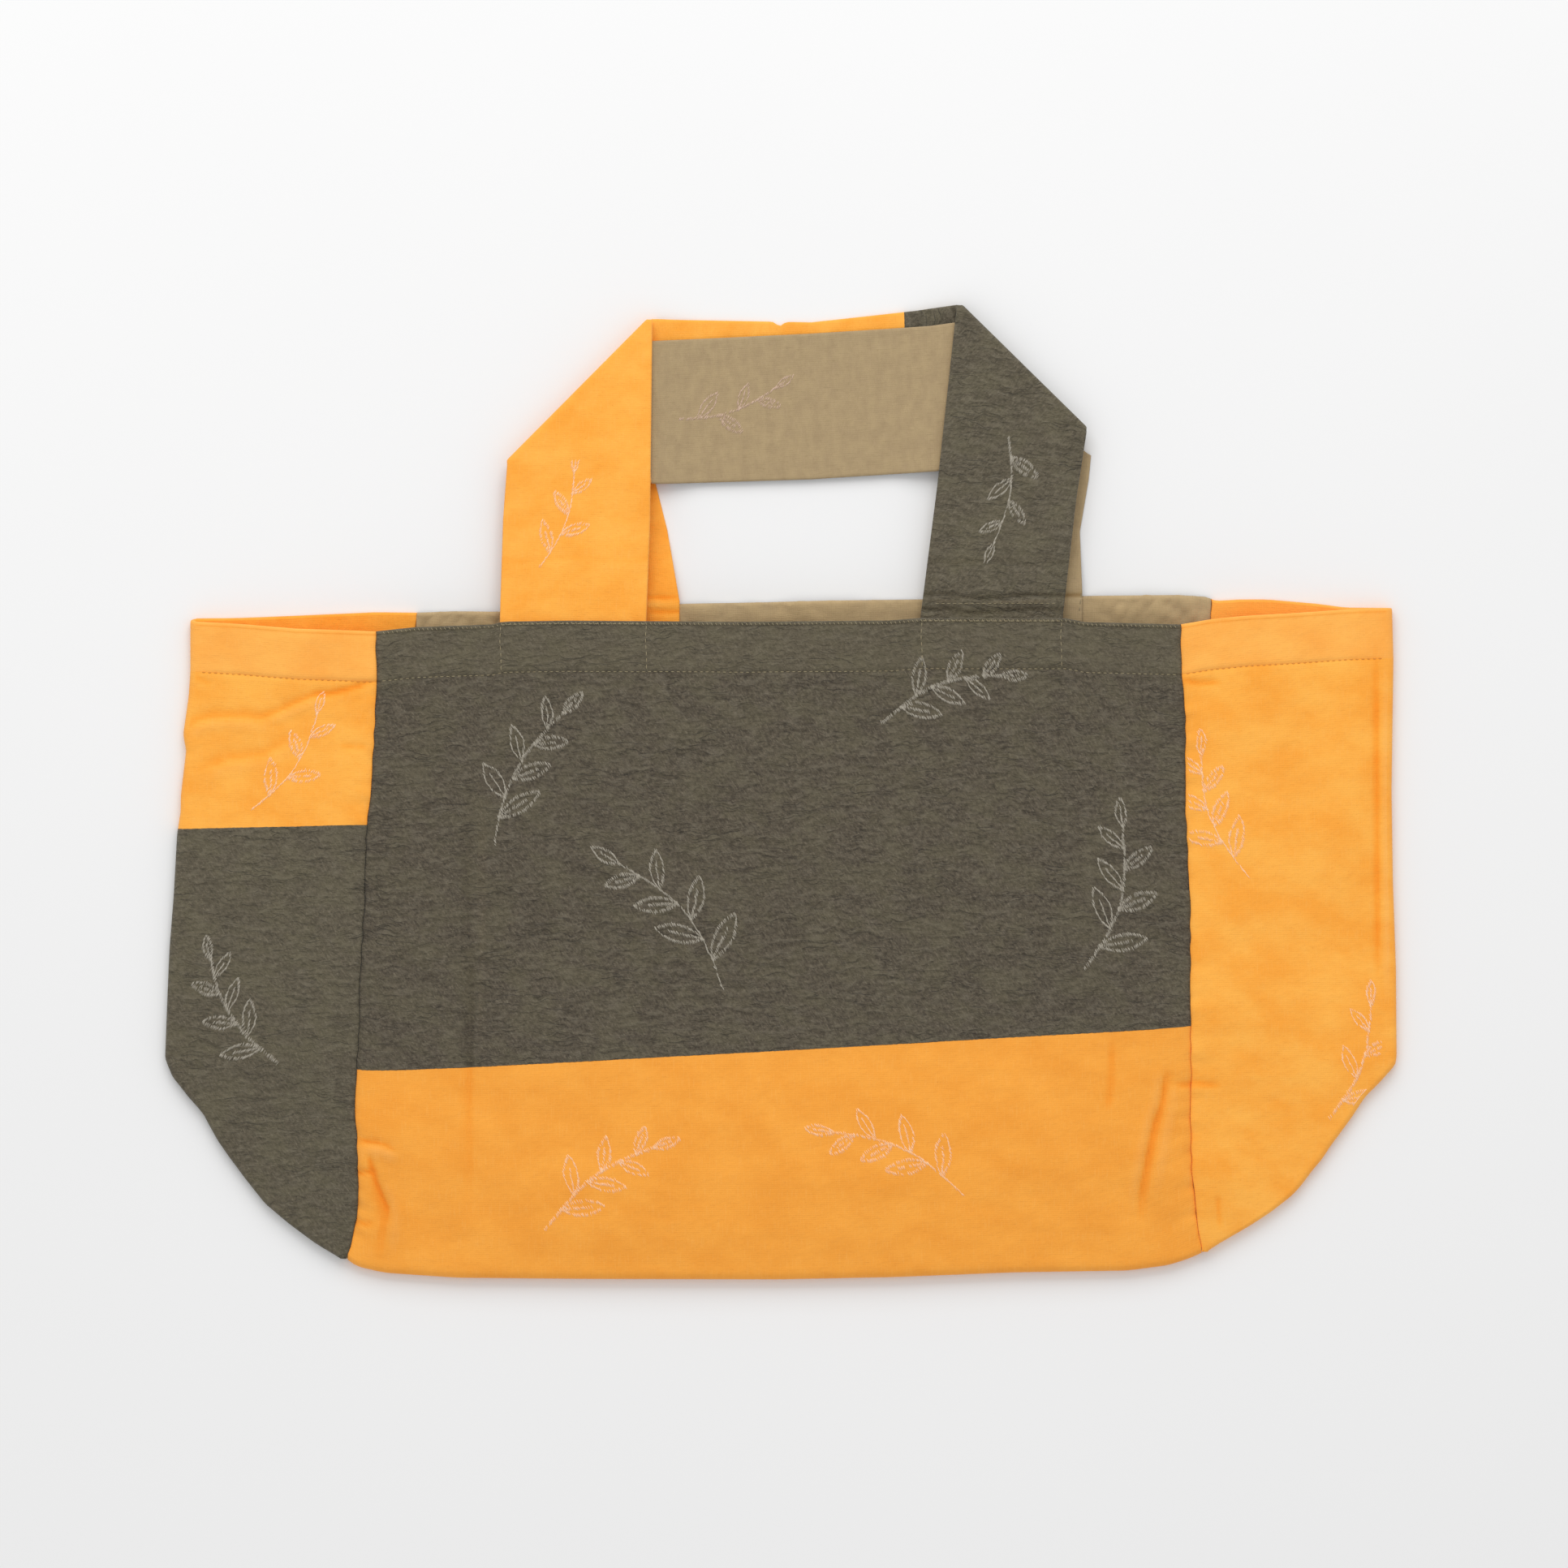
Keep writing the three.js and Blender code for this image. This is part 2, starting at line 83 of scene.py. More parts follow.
def make_object(name, points, faces, materials, uv=None, slots=None, tone=None):
    """Mesh object from points in millimetres and faces. uv and tone are given per point."""
    mesh = bpy.data.meshes.new(name)
    mesh.from_pydata((points * 0.001).tolist(), [], faces.tolist())
    mesh.polygons.foreach_set("use_smooth", np.ones(len(faces), bool))
    for material in materials:
        mesh.materials.append(material)
    if slots is not None:
        mesh.polygons.foreach_set("material_index", slots.astype(np.int32))
    if uv is not None:
        layer = mesh.uv_layers.new(name="cloth_mm")
        layer.uv.foreach_set("vector", uv[faces.ravel()].astype(np.float32).ravel())
    if tone is not None:
        values = mesh.attributes.new("tone", "FLOAT", "POINT")
        values.data.foreach_set("value", tone.astype(np.float32))
    piece = bpy.data.objects.new(name, mesh)
    scene.collection.objects.link(piece)
    return piece


# Sheet of matt white laminate, evenly pale, with the faintest unevenness, about half a metre wide.
table_white, tree = new_material("matt_white_laminate")
place = add_node(tree, "TexCoord").outputs["Object"]
unevenness = add_node(tree, "TexNoise", {"Vector": place, "Scale": 2.2, "Detail": 2.0})
blend = add_node(tree, "MixRGB", {
    "Fac": unevenness.outputs["Fac"], "Color1": linear("#EFEFEF"), "Color2": linear("#F3F3F3")})
shader = add_node(tree, "BsdfPrincipled", {
    "Base Color": blend.outputs["Color"], "Roughness": 0.85, "Specular IOR Level": 0.15})
add_node(tree, "OutputMaterial", {"Surface": shader.outputs["BSDF"]})
corners = np.array([(-2500, -2500, -0.1), (2500, -2500, -0.1), (2500, 2500, -0.1), (-2500, 2500, -0.1)])
table = make_object("table", corners, np.array([[0, 1, 2, 3]]), [table_white])

world = bpy.data.worlds.new("white_room")
world.use_nodes = True
world.node_tree.nodes["Background"].inputs["Color"].default_value = (1.0, 1.0, 1.0, 1.0)
world.node_tree.nodes["Background"].inputs["Strength"].default_value = 0.725
scene.world = world
window_data = bpy.data.lights.new("window", "AREA")
window_data.shape = "RECTANGLE"
window_data.size = 2.2
window_data.size_y = 1.5
window_data.energy = 28.0
window = bpy.data.objects.new("window", window_data)
window.location = (-0.20, 1.75, 1.45)
window.rotation_euler = (np.radians(-50.0), 0.0, np.radians(-6.0))
scene.collection.objects.link(window)

# Front and back cloth. One long piece of double-faced cotton weave, dark olive grey above and orange
# below, runs down the front, round the bottom fold and up the back. Both ends are turned in as hems.
mouth_y = 72.79  # of the mouth's nominal front edge, in mm
wall = 1.2
seam_gap = 0.02
body_drop = 283.5
back_shift = (17.5, 13.3)  # the back cloth's two seams lie this far to the right at the mouth
hem_depth = 22.0
hem_stitch_depth = 21.6
loft = 12.6
level_depth = 279.5  # where the rows of the front begin to bend under
wave_depth = 23.2  # where the waves of the mouth's edges begin to fade out
bend_length = 9.0  # of cloth round the bottom fold
half_width = 175.0  # to which the columns are spaced
# Depth below the mouth, and x, of the two seams.
left_seam = np.array([
    (0, -174.4), (24.5, -174.05), (42, -174.9), (59.5, -175.8), (78.4, -177.2), (88.2, -178.4),
    (120.7, -179.3), (151.9, -181.1), (177.4, -181.7), (194.2, -182.9), (210, -183.4), (224.7, -182.6),
    (238.7, -182.1), (256.2, -182.6), (267, -184.9), (274.9, -187.4), (290, -190.0)])
right_seam = np.array([
    (0, 172.1), (22, 172.2), (29.4, 173.5), (45.1, 174.2), (74.9, 173.9), (99.7, 175.1), (125, 176.2),
    (175, 176.3), (193.5, 176.6), (216.3, 176.4), (237.6, 177.0), (256.9, 179.2), (272, 181.4),
    (290, 183.5)])
# x, and height above the nominal mouth line, of the mouth's front and back edges.
front_rim = np.array([
    (-265, 0.0), (-252.8, 0.0), (-233.2, -1.05), (-208.7, -3.1), (-174.5, -4.3), (-157.6, -2.5),
    (-123, -1.3), (-120, -0.1), (-91.8, 0.3), (-43.9, 0.0), (-18.3, -0.2), (46.8, 0.35), (60.4, 1.5),
    (100.7, 1.4), (122.4, 1.4), (130.4, -0.3), (172, -1.3), (185.4, 1.0), (199.4, 2.4), (219, 3.5),
    (243.5, 5.2), (264, 5.95)])
back_rim = np.array([
    (-265, 1.3), (-234.3, 1.6), (-213.6, 2.4), (-192.6, 3.3), (-175.1, 4.1), (-156.6, 3.9),
    (-140.5, 4.5), (-123, 4.3), (-42.8, 7.7), (-6.1, 8.4), (18.8, 9.1), (59, 9.6), (129.4, 11.1),
    (170.7, 11.5), (183, 10.8), (187.6, 9.0), (197.3, 9.6), (209.9, 9.6), (231.6, 7.7), (243.5, 6.1),
    (264, 5.95)])
# x, and depth, of the bottom fold.
bottom_fold = np.array([
    (-190, 273.4), (-187.3, 274.9), (-182.8, 277.9), (-170.2, 280.7), (-139.1, 282.8), (-82.7, 283.3),
    (-0.8, 283.5), (49.2, 282.5), (99.3, 280.5), (149, 279.7), (166.8, 277.4), (175.6, 274.6),
    (181.7, 271.9), (184, 271)])
# Share of the way down, and height as a share of loft: middle of the front, seams, outer folds.
middle_height = np.array([(0, 1.0), (0.15, 0.96), (0.60, 0.92), (0.85, 0.86), (0.94, 0.70), (1.0, 0.50)])
seam_height = np.array([(0, 0.84), (0.15, 0.80), (0.60, 0.76), (0.85, 0.62), (0.94, 0.42), (1.0, 0.38)])
fold_height = np.array([(0, 0.42), (0.15, 0.40), (0.60, 0.38), (1.0, 0.38)])
# Folds pressed into the front: breadth and rise in mm, then the points of the fold as (x, y) in mm.
# A bell stands up or sinks along its whole length, a step leans to one side.
folds = [
    ("step", 4.0, 0.30, [(-131.2, 20), (-132.0, -40), (-132.4, -110), (-132.8, -203)]),
    ("bell", 1.8, -0.28, [(-131.8, -60), (-132.4, -85), (-133.2, -122), (-133.0, -190)]),
    ("bell", 1.5, -1.15, [(-173.8, 47.2), (-182.5, 44.9), (-191.5, 42.4), (-196.5, 41.3), (-203.5, 42.2)]),
    ("step", 2.2, 0.9, [(-193, 42.2), (-204.8, 38.2), (-216.8, 32.6), (-226, 30.0)]),
    ("step", 3.2, -0.8, [(-258.6, 23.4), (-253.8, 27.0), (-250.3, 29.0), (-244.8, 30.5), (-228, 30.4),
                         (-214, 27.0)]),
    ("step", 3.4, 0.6, [(-205, 24), (-222, 14), (-238, 12), (-254, 6)]),
    ("bell", 1.5, -0.5, [(-253.5, 49.2), (-244.8, 45.6)]),
    ("bell", 1.6, -0.5, [(-190.8, 19.4), (-177.0, 18.8)]),
    ("bell", 1.3, -1.0, [(-183.4, -150.9), (-173.7, -151.7), (-164.4, -155.4)]),
    ("bell", 3.0, 0.9, [(-182.5, -156.5), (-172.5, -154.9), (-164.0, -158.6)]),
    ("bell", 1.4, -1.1, [(-178.4, -153.6), (-177.0, -158.8), (-174.4, -168.4), (-169.5, -178.9),
                         (-168.2, -187)]),
    ("step", 3.4, 0.8, [(-174.4, -166.4), (-169.5, -178.9), (-168.6, -186.0), (-170.8, -204)]),
    ("bell", 1.2, -0.9, [(-184.6, -165.0), (-173.6, -163.6)]),
    ("bell", 1.2, -0.7, [(-184.8, -185.9), (-174.6, -186.8)]),
    ("step", 3.0, -1.0, [(165.4, -119.0), (164.7, -124.6), (163.3, -135.1), (160.2, -142.8), (157.4, -156.1),
                         (154.6, -171.5), (152.6, -188)]),
    ("bell", 1.2, -0.8, [(166.4, -119.6), (164.7, -124.6), (163.3, -135.1), (160.2, -142.8), (157.4, -156.1),
                         (154.6, -171.5), (153.5, -186.0)]),
    ("bell", 2.6, 0.7, [(168.6, -123), (168.2, -135), (165.2, -150), (160.0, -180)]),
    ("bell", 1.8, -0.5, [(142.7, -104.0), (142.0, -126.7), (140.2, -139)]),
    ("bell", 1.4, -0.8, [(167.0, -127.0), (179.0, -126.2), (190.6, -126.8)]),
    ("bell", 1.4, -0.5, [(188.0, -172.7), (189.2, -189.5)]),
    ("bell", 1.4, -0.9, [(171.8, 47.9), (179.5, 46.4), (190.5, 47.0)]),
    ("bell", 1.8, -0.9, [(256.2, 66), (256.6, 20), (257.0, -48), (257.4, -84)]),
    ("bell", 1.7, 0.9, [(260.4, 66), (260.4, 10), (260.8, -60), (261.0, -96)]),
]
# Wide soft shapes of the lying cloth, as in the solids: x, y, length, lean in degrees, breadth, rise.
swells = [
    (-131.7, -114.3, 170, 0, 10.8, -0.7), (-170.9, -154.0, 45, 24, 8.4, 0.8),
    (-156.6, -182.4, 40, -32, 9.6, -0.8), (153.1, -151.2, 62, -18, 10.8, 0.8),
    (160.2, -182.4, 45, -46, 9.6, -0.7), (53.4, -83.1, 227, 6, 24.0, 0.5),
    (-222.5, -54.8, 142, 2, 16.8, 0.6), (242.1, 4.7, 102, 0, 9.6, 0.7),
]


def along(table, at, soft=0.0):
    """Second column of a table where its first column is at, straight between rows, then blurred
    over soft on each side with weights 1, 4, 6, 4 and 1."""
    return sum(
        weight / 16 * np.interp(at + soft * offset, table[:, 0], table[:, 1])
        for offset, weight in ((-1.0, 1), (-0.5, 4), (0.0, 6), (0.5, 4), (1.0, 1)))


def ripples(x, y, seed, longest, shortest, height, stretch=1.0, count=18):
    """Sum of plane waves in random directions and phases. Their lengths lie between shortest and
    longest, stretch lengthens them along x, and the sum's root mean square is about height."""
    rng = np.random.default_rng(seed)
    total = np.zeros(np.broadcast(x, y).shape)
    for _ in range(count):
        turn, phase = rng.uniform(0, 2 * np.pi, 2)
        length = shortest * (longest / shortest) ** rng.uniform()
        total += np.sin(2 * np.pi * (x / stretch * np.cos(turn) + y * np.sin(turn)) / length + phase)
    return total * height * np.sqrt(2 / count)


def fold_relief(x, y):
    """Height of the pressed folds and wide swells, and how deep the folds alone are pressed in. A bell
    is rise times exp(-(a/b)^2) of the distance a from the fold over its breadth b, a step is 1.6 a/b
    times that, and both fade towards the ends."""
    total = np.zeros(x.shape)
    for kind, breadth, rise, points in folds:
        nearest = np.full(x.shape, 1e9)
        side = np.zeros(x.shape)
        onward = np.zeros(x.shape)
        for k, (start, end) in enumerate(zip(points[:-1], points[1:])):
            dx, dy = end[0] - start[0], end[1] - start[1]
            share = np.clip(((x - start[0]) * dx + (y - start[1]) * dy) / (dx * dx + dy * dy), 0, 1)
            gap_x, gap_y = x - start[0] - share * dx, y - start[1] - share * dy
            away = np.hypot(gap_x, gap_y)
            closer = away < nearest
            side = np.where(closer, np.sign(dx * gap_y - dy * gap_x), side)
            onward = np.where(closer, (k + share) / (len(points) - 1), onward)
            nearest = np.where(closer, away, nearest)
        ratio = nearest / breadth
        fade = np.clip(4.5 * onward, 0, 1) * np.clip(4.5 * (1 - onward), 0, 1)
        shape = np.exp(-ratio ** 2) * (1.6 * ratio * side if kind == "step" else 1.0)
        total += rise * fade * shape
    pressed = -total
    for x0, y0, length, lean, breadth, rise in swells:
        turn = np.radians(lean)
        aside = ((x - x0) * np.cos(turn) - (y - y0) * np.sin(turn)) / breadth
        onward = ((x - x0) * np.sin(turn) + (y - y0) * np.cos(turn)) / (0.5 * length)
        total += rise * np.exp(-aside ** 2 - onward ** 4)
    return total, pressed


def loose_relief(x, y):
    """Small unevenness of cloth that lies loose: broad waves, hand-sized ones and close crinkles."""
    return (ripples(x, y, 11, 150, 60, 0.30) + ripples(x, y, 12, 48, 18, 0.10)
            + ripples(x, y, 13, 14, 7, 0.03, stretch=2.4))


def seam_relief(away, onward, seed):
    """Puckers beside a sewn seam, about 15 and 8 mm from crest to crest and gone 14 mm away from it,
    over a valley 1 mm deep at the stitches."""
    rng = np.random.default_rng(seed)
    drift = sum(rng.uniform(0.5, 1.2) * np.sin(onward / length + rng.uniform(0, 6))
                for length in (9.0, 17.0, 31.0))
    strength = 0.6 + 0.4 * np.sin(onward / 23.0 + seed)
    puckers = 0.34 * strength * np.sin(2 * np.pi * onward / 15.0 + drift) * np.exp(-(away / 9.0) ** 2)
    puckers += 0.24 * strength * np.sin(2 * np.pi * onward / 7.9 + 1.8 * drift) * np.exp(-(away / 5.5) ** 2)
    return puckers - 1.0 * np.exp(-(away / 1.6) ** 2)


def hem_relief(depth, along_edge, seed):
    """A turned hem seen from outside: a doubled cloth 0.35 mm proud, a groove at its stitch line with
    small puckers 5 mm apart below it, and the roll of the folded edge."""
    step = 0.35 / (1 + np.exp((depth - hem_stitch_depth) / 0.5))
    groove = -0.50 * np.exp(-((depth - hem_stitch_depth) / 0.8) ** 2)
    roll = -0.16 * np.exp(-((depth - 2.2) / 0.8) ** 2)
    wave = np.sin(2 * np.pi * along_edge / 5.2 + 2 * np.sin(along_edge / 13.0 + seed))
    puckers = 0.15 * wave * np.exp(-((depth - 22.5) / 5.5) ** 2)
    return step + groove + roll + puckers


def seam_line(seam, depth):
    """x of a seam at a depth, with the small bends that the stitches draw it into."""
    return along(seam, depth, 4.0) + 0.20 * np.sin(depth / 2.6 + 2.0 * np.sin(depth / 7.3))


def round_edge(distance, radius):
    """Share of full thickness near a border: a quarter circle of that radius."""
    return np.sqrt(1 - (1 - np.clip(distance / radius, 0, 1)) ** 2)


def closed_cloth(middle, outside, inside, edge):
    """Closed sheet round a grid of points on a cloth's middle surface. The normal is the direction
    down the rows times the direction across them. The outer face lies outside along it and the inner
    face inside behind it, both times edge, and they share the border. Returns points, faces, material
    slots, the grid cell of every point, the outer grid and the normals."""
    normal = np.cross(np.gradient(middle, axis=0), np.gradient(middle, axis=1))
    normal /= np.linalg.norm(normal, axis=2, keepdims=True)
    outer = middle + normal * (outside * edge)[..., None]
    inner = middle - normal * (inside * edge)[..., None]
    rows, columns = edge.shape
    front = np.arange(rows * columns).reshape(rows, columns)
    behind = front + rows * columns
    behind[[0, -1], :] = front[[0, -1], :]
    behind[:, [0, -1]] = front[:, [0, -1]]
    out = np.stack([front[:-1, :-1], front[1:, :-1], front[1:, 1:], front[:-1, 1:]], -1).reshape(-1, 4)
    into = np.stack([behind[:-1, :-1], behind[:-1, 1:], behind[1:, 1:], behind[1:, :-1]], -1).reshape(-1, 4)
    used, faces = np.unique(np.concatenate([out, into]), return_inverse=True)
    points = np.concatenate([outer.reshape(-1, 3), inner.reshape(-1, 3)])[used]
    slots = np.repeat([0, 1], len(out))
    return points, faces.reshape(-1, 4), slots, used % (rows * columns), outer, normal


def bottom_bend(across):
    """Radius of the bottom fold's bend at a place across the panel, and the depth where it begins."""
    top = loft * np.interp(np.abs(across) ** 4, [0, 1], [middle_height[-1, 1], seam_height[-1, 1]])
    bend = (top - wall / 2) / 2
    x = np.interp(across, [-1, 1], [left_seam[-2, 1], right_seam[-2, 1]])
    return bend, along(bottom_fold, x, 4.0) - wall / 2 - bend


def true_depth(depth, bend_depth):
    """Depth of a row from its nominal one: the lower half stretches or shrinks so that the last row
    lies where the bottom begins to bend."""
    lower = np.clip((depth / level_depth - 0.5) / 0.5, 0, 1)
    lower = lower * lower * (3 - 2 * lower)
    return depth * (1 + (bend_depth / level_depth - 1) * lower)


def row_y(depth, rim):
    """y of a row at its depth. rim is the wave of the mouth, which fades out over 85 mm below the hem."""
    return mouth_y + rim * (1 - np.clip((depth - wave_depth) / 85.0, 0, 1)) - depth


# Rows and columns are closest at the hem, the seams and the pressed folds.
columns = np.concatenate([[0, 0.12, 0.3, 0.7, 1.5], np.arange(2.6, 49, 1.3), np.arange(50.5, 174.0, 3.8)])
panel_across = np.concatenate([columns / half_width - 1, [0.0], (1 - columns / half_width)[::-1]])
side_away = half_width * (1 - np.abs(panel_across))
hem_rows = np.concatenate([[0, 0.15, 0.5, 1.0, 1.35, 1.7, 2.2, 3.0], np.arange(4.6, 19, 2.0),
                           [19.6, 20.5, 21.1, 21.6, 22.1, 22.9, 24.2]])
front_depth = np.concatenate([hem_rows, np.arange(26.0, 46, 1.5), np.arange(46.5, 170, 2.3),
                              np.arange(170.5, level_depth, 1.7)])
front_depth[-1] = level_depth
back_depth = np.concatenate([[0, 0.15, 0.5, 1.1, 2.0, 3.2], np.arange(4.8, 21, 1.6), [21.2, 22.2, 23.4],
                             np.arange(28, level_depth, 5.5)])
back_depth[-1] = level_depth
bend, bend_depth = bottom_bend(panel_across)


def panel_x(across, depth, shift=(0.0, 0.0)):
    """x between the two seams at a depth, with the back cloth's shift to the right."""
    slide = 1 - np.clip(depth / body_drop, 0, 1)
    low = seam_line(left_seam, depth) + shift[0] * slide + seam_gap / 2
    high = seam_line(right_seam, depth) + shift[1] * slide - seam_gap / 2
    return low + (high - low) * (across + 1) / 2


def handle_pads(x, depth):
    """Bulge of the hem over the two ends of the front strap, which are sewn inside it."""
    total = 0.0
    for low, high in ((-121.0, -57.6), (60.6, 120.6)):
        total = total + 1 / (1 + np.exp(-(x - low) / 0.5)) - 1 / (1 + np.exp(-(x - high) / 0.5))
    return 0.55 * total / (1 + np.exp((depth - hem_depth) / 0.6))


def painted_hem_shade_lines(depth):
    """Painted shade, as a crease depth in mm, along two fine lines of the hem: at its stitches and below the
    mouth's edge.
    """
    at_stitches = 0.30 * np.exp(-((depth - hem_stitch_depth) / 0.6) ** 2)
    return at_stitches + 0.45 * np.exp(-((depth - 1.5) / 0.4) ** 2)


depth = front_depth[:, None]
down = true_depth(depth, bend_depth[None, :])
x = panel_x(panel_across[None, :], down)
y = row_y(down, along(front_rim, x[:1], 1.2))
share = depth / level_depth
arch = np.abs(panel_across[None, :]) ** 4
z = loft * (along(middle_height, share, 0.02) * (1 - arch) + along(seam_height, share, 0.02) * arch)
relief, pressed = fold_relief(x, y)
relief = relief + loose_relief(x, y)
relief = relief + seam_relief(side_away[None, :] + 0 * depth, depth + 3 * np.sign(panel_across), 3)
relief = relief * (1 - np.clip((share - 0.95) / 0.05, 0, 1))
relief = relief + hem_relief(depth, x, 1.0) + handle_pads(x, depth)
front = np.stack([x, y, z + relief], -1)

round_share = np.arange(1, 10) / 10  # of the half circle round the bottom fold
angle = np.pi * round_share[:, None]
bend_x = panel_x(panel_across[None, :], bend_depth[None, :]) + 0 * angle
bend_z = wall / 2 + bend * (1 + np.cos(angle))
under = np.stack([bend_x, mouth_y - bend_depth - bend * np.sin(angle), bend_z], -1)

depth = back_depth[::-1, None]
down = true_depth(depth, bend_depth[None, :])
x = panel_x(panel_across[None, :], down, back_shift)
y = row_y(down, along(back_rim, x[-1:], 1.2))
# The back hem lies loose. It is rumpled and lifts a little, except where the strap's ends are sewn on.
rumple = ripples(x + 0.5 * depth, depth, 41, 16, 5, 0.30) + 0.6
mouth_lift = 1.4 * np.exp(-(depth / 9.0) ** 2) * (0.5 + 0.5 * np.sin(x / 11.0 + np.sin(x / 5.3)))
mouth_lift = mouth_lift + rumple * np.exp(-(depth / 16.0) ** 4)
pinned = np.exp(-((x + 75.4) / 36.0) ** 8) + np.exp(-((x - 98.1) / 36.0) ** 8)
mouth_lift = np.maximum(0, mouth_lift * (1 - 0.9 * pinned))
back = np.stack([x, y, wall / 2 + mouth_lift], -1)

# The cloth is drawn doubled in the hems and in the bend of the bottom fold.
middle = np.concatenate([front, under, back])
row_away = np.concatenate([front_depth, np.full(len(under), bend_length), back_depth[::-1]])
inside = np.where(row_away < hem_depth, 1.5 * wall, 0.5 * wall)[:, None] + 0 * panel_across[None, :]
edge = np.minimum(round_edge(row_away, 1.1)[:, None], round_edge(side_away, 0.5)[None, :])
back_rows = 2 * level_depth + bend_length - back_depth[::-1]
panel_rows = np.concatenate([front_depth, level_depth + bend_length * round_share, back_rows])
panel_uv = np.stack([middle[..., 0], panel_rows[:, None] + 0 * panel_across[None, :]], -1)
# Painted shade in the folds' creases, along the hem's two lines and in the seams' grooves.
pressed = pressed + painted_hem_shade_lines(front_depth)[:, None] + 0.4 * np.exp(-(side_away / 0.9) ** 2)[None, :]
# The back hem that shows past the front gets a painted highlight, paler the more it lifts.
pressed = np.concatenate([pressed, np.zeros(under.shape[:2]), -0.5 - 0.35 * mouth_lift])
points, faces, slots, cell, panel_outer, panel_normal = closed_cloth(middle, wall / 2, inside, edge)


shown_thread_pitch = 0.9  # The real threads are too fine to show, so they are drawn coarser.


def patches(tree, vector, length, breadth, turn=0.0, shift=(0.0, 0.0), detail=2.0, roughness=0.5,
            output="Fac"):
    """Noise from 0 to 1 in patches of about that length and breadth in mm, turned by degrees."""
    place = add_node(tree, "Mapping", {
        "Vector": vector, "Location": (*shift, 0.0), "Rotation": (0.0, 0.0, float(np.radians(turn))),
        "Scale": (length, breadth, 1.0)}, vector_type="TEXTURE")
    return add_node(tree, "TexNoise", {
        "Vector": place.outputs["Vector"], "Scale": 1.0, "Detail": detail,
        "Roughness": roughness}).outputs[output]


def tinted(tree, colour, tint, pattern, none, full, most=1.0):
    """Colour with a tint laid over it, from nothing where the pattern's value is none to the share
    most where it is full."""
    share = add_node(tree, "MapRange", {
        "Value": pattern, "From Min": none, "From Max": full, "To Max": most}).outputs["Result"]
    return add_node(tree, "MixRGB", {"Fac": share, "Color1": colour, "Color2": tint}).outputs["Color"]


def summed(tree, *parts):
    """Sum of some patterns, each times its own height or weight."""
    total = 0.0
    for pattern, weight in parts:
        total = add_node(tree, "Math", {0: pattern, 1: weight, 2: total},
                         operation="MULTIPLY_ADD").outputs["Value"]
    return total


def threads(tree, vector):
    """Height from 0 to 1 of a plain weave, its threads a little uneven."""
    warp, weft = [add_node(tree, "TexWave", {
        "Vector": vector, "Scale": 2 * np.pi / (20 * shown_thread_pitch), "Distortion": 2.0, "Detail": 1.0,
        "Detail Scale": 2.5}, bands_direction=axis).outputs["Fac"] for axis in "XY"]
    return summed(tree, (weft, 0.5), (warp, 0.5))


def crinkle_lines(tree, bent, vector):
    """1 on wavy level lines about 17 mm long and 4 mm apart, in some stretches of the cloth only."""
    level = patches(tree, bent, 17.0, 3.6, 2, (91.0, 17.0))
    off_level = add_node(tree, "Math", {0: level, 1: 0.5}, operation="SUBTRACT").outputs["Value"]
    off_level = add_node(tree, "Math", {0: off_level}, operation="ABSOLUTE").outputs["Value"]
    line = add_node(tree, "MapRange", {
        "Value": off_level, "From Max": 0.035, "To Min": 1.0, "To Max": 0.0}).outputs["Result"]
    stretch = add_node(tree, "MapRange", {
        "Value": patches(tree, vector, 24.0, 9.0, 0, (31.0, 77.0), 3.0, 0.6),
        "From Min": 0.46, "From Max": 0.60}).outputs["Result"]
    return add_node(tree, "Math", {0: line, 1: stretch}, operation="MULTIPLY").outputs["Value"]


def olive_look(tree, vector):
    """Colour and height in mm of the dark face: olive grey yarn, embossed all over with small soft
    bumps and slanting flecks, and crossed by wavy crinkles where the double weave draws together,
    which painted shade darkens."""
    wander = patches(tree, vector, 8.0, 6.0, output="Color")
    bent = add_node(tree, "VectorMath", {0: wander, 1: (5.0, 5.0, 0.0)}, operation="MULTIPLY")
    bent = add_node(tree, "VectorMath", {0: vector, 1: bent.outputs["Vector"]}).outputs["Vector"]
    streak = patches(tree, bent, 12.0, 3.0, 2, (7.0, 3.0), 3.0)
    ridge = patches(tree, bent, 6.0, 2.6, -6, (57.0, 23.0), 3.0)
    mottle = patches(tree, vector, 1.9, 1.6, 30, detail=4.0, roughness=0.65)
    fleck = patches(tree, vector, 2.2, 0.7, 58, detail=3.0, roughness=0.6)
    cloud = patches(tree, vector, 17.0, 12.0, 20, (5.0, 41.0), 4.0, 0.6)
    crinkle = crinkle_lines(tree, bent, vector)
    colour = tinted(tree, linear("#4A4338"), linear("#665D4E"), mottle, 0.36, 0.64)
    colour = tinted(tree, colour, linear("#7F7665"), fleck, 0.55, 0.70, 0.65)
    colour = tinted(tree, colour, linear("#3C352A"), fleck, 0.45, 0.32, 0.45)
    colour = tinted(tree, colour, linear("#797161"), ridge, 0.50, 0.64, 0.36)
    colour = tinted(tree, colour, linear("#3B3428"), streak, 0.52, 0.70, 0.34)
    colour = tinted(tree, colour, linear("#6C664E"), cloud, 0.44, 0.60, 0.28)
    # Painted shade in the crinkles.
    colour = tinted(tree, colour, linear("#332D22"), crinkle, 0.0, 1.0, 0.36)
    return colour, summed(tree, (ridge, 1.5), (streak, -1.5), (crinkle, -0.4), (mottle, 1.0),
                          (threads(tree, vector), 0.05))


def paler_olive_look(tree, vector):
    """The same dark face mixed a little paler, for the left side and the straps."""
    colour, height = olive_look(tree, vector)
    paler = add_node(tree, "MixRGB", {"Fac": 0.10, "Color1": colour, "Color2": linear("#858065")})
    return paler.outputs["Color"], height


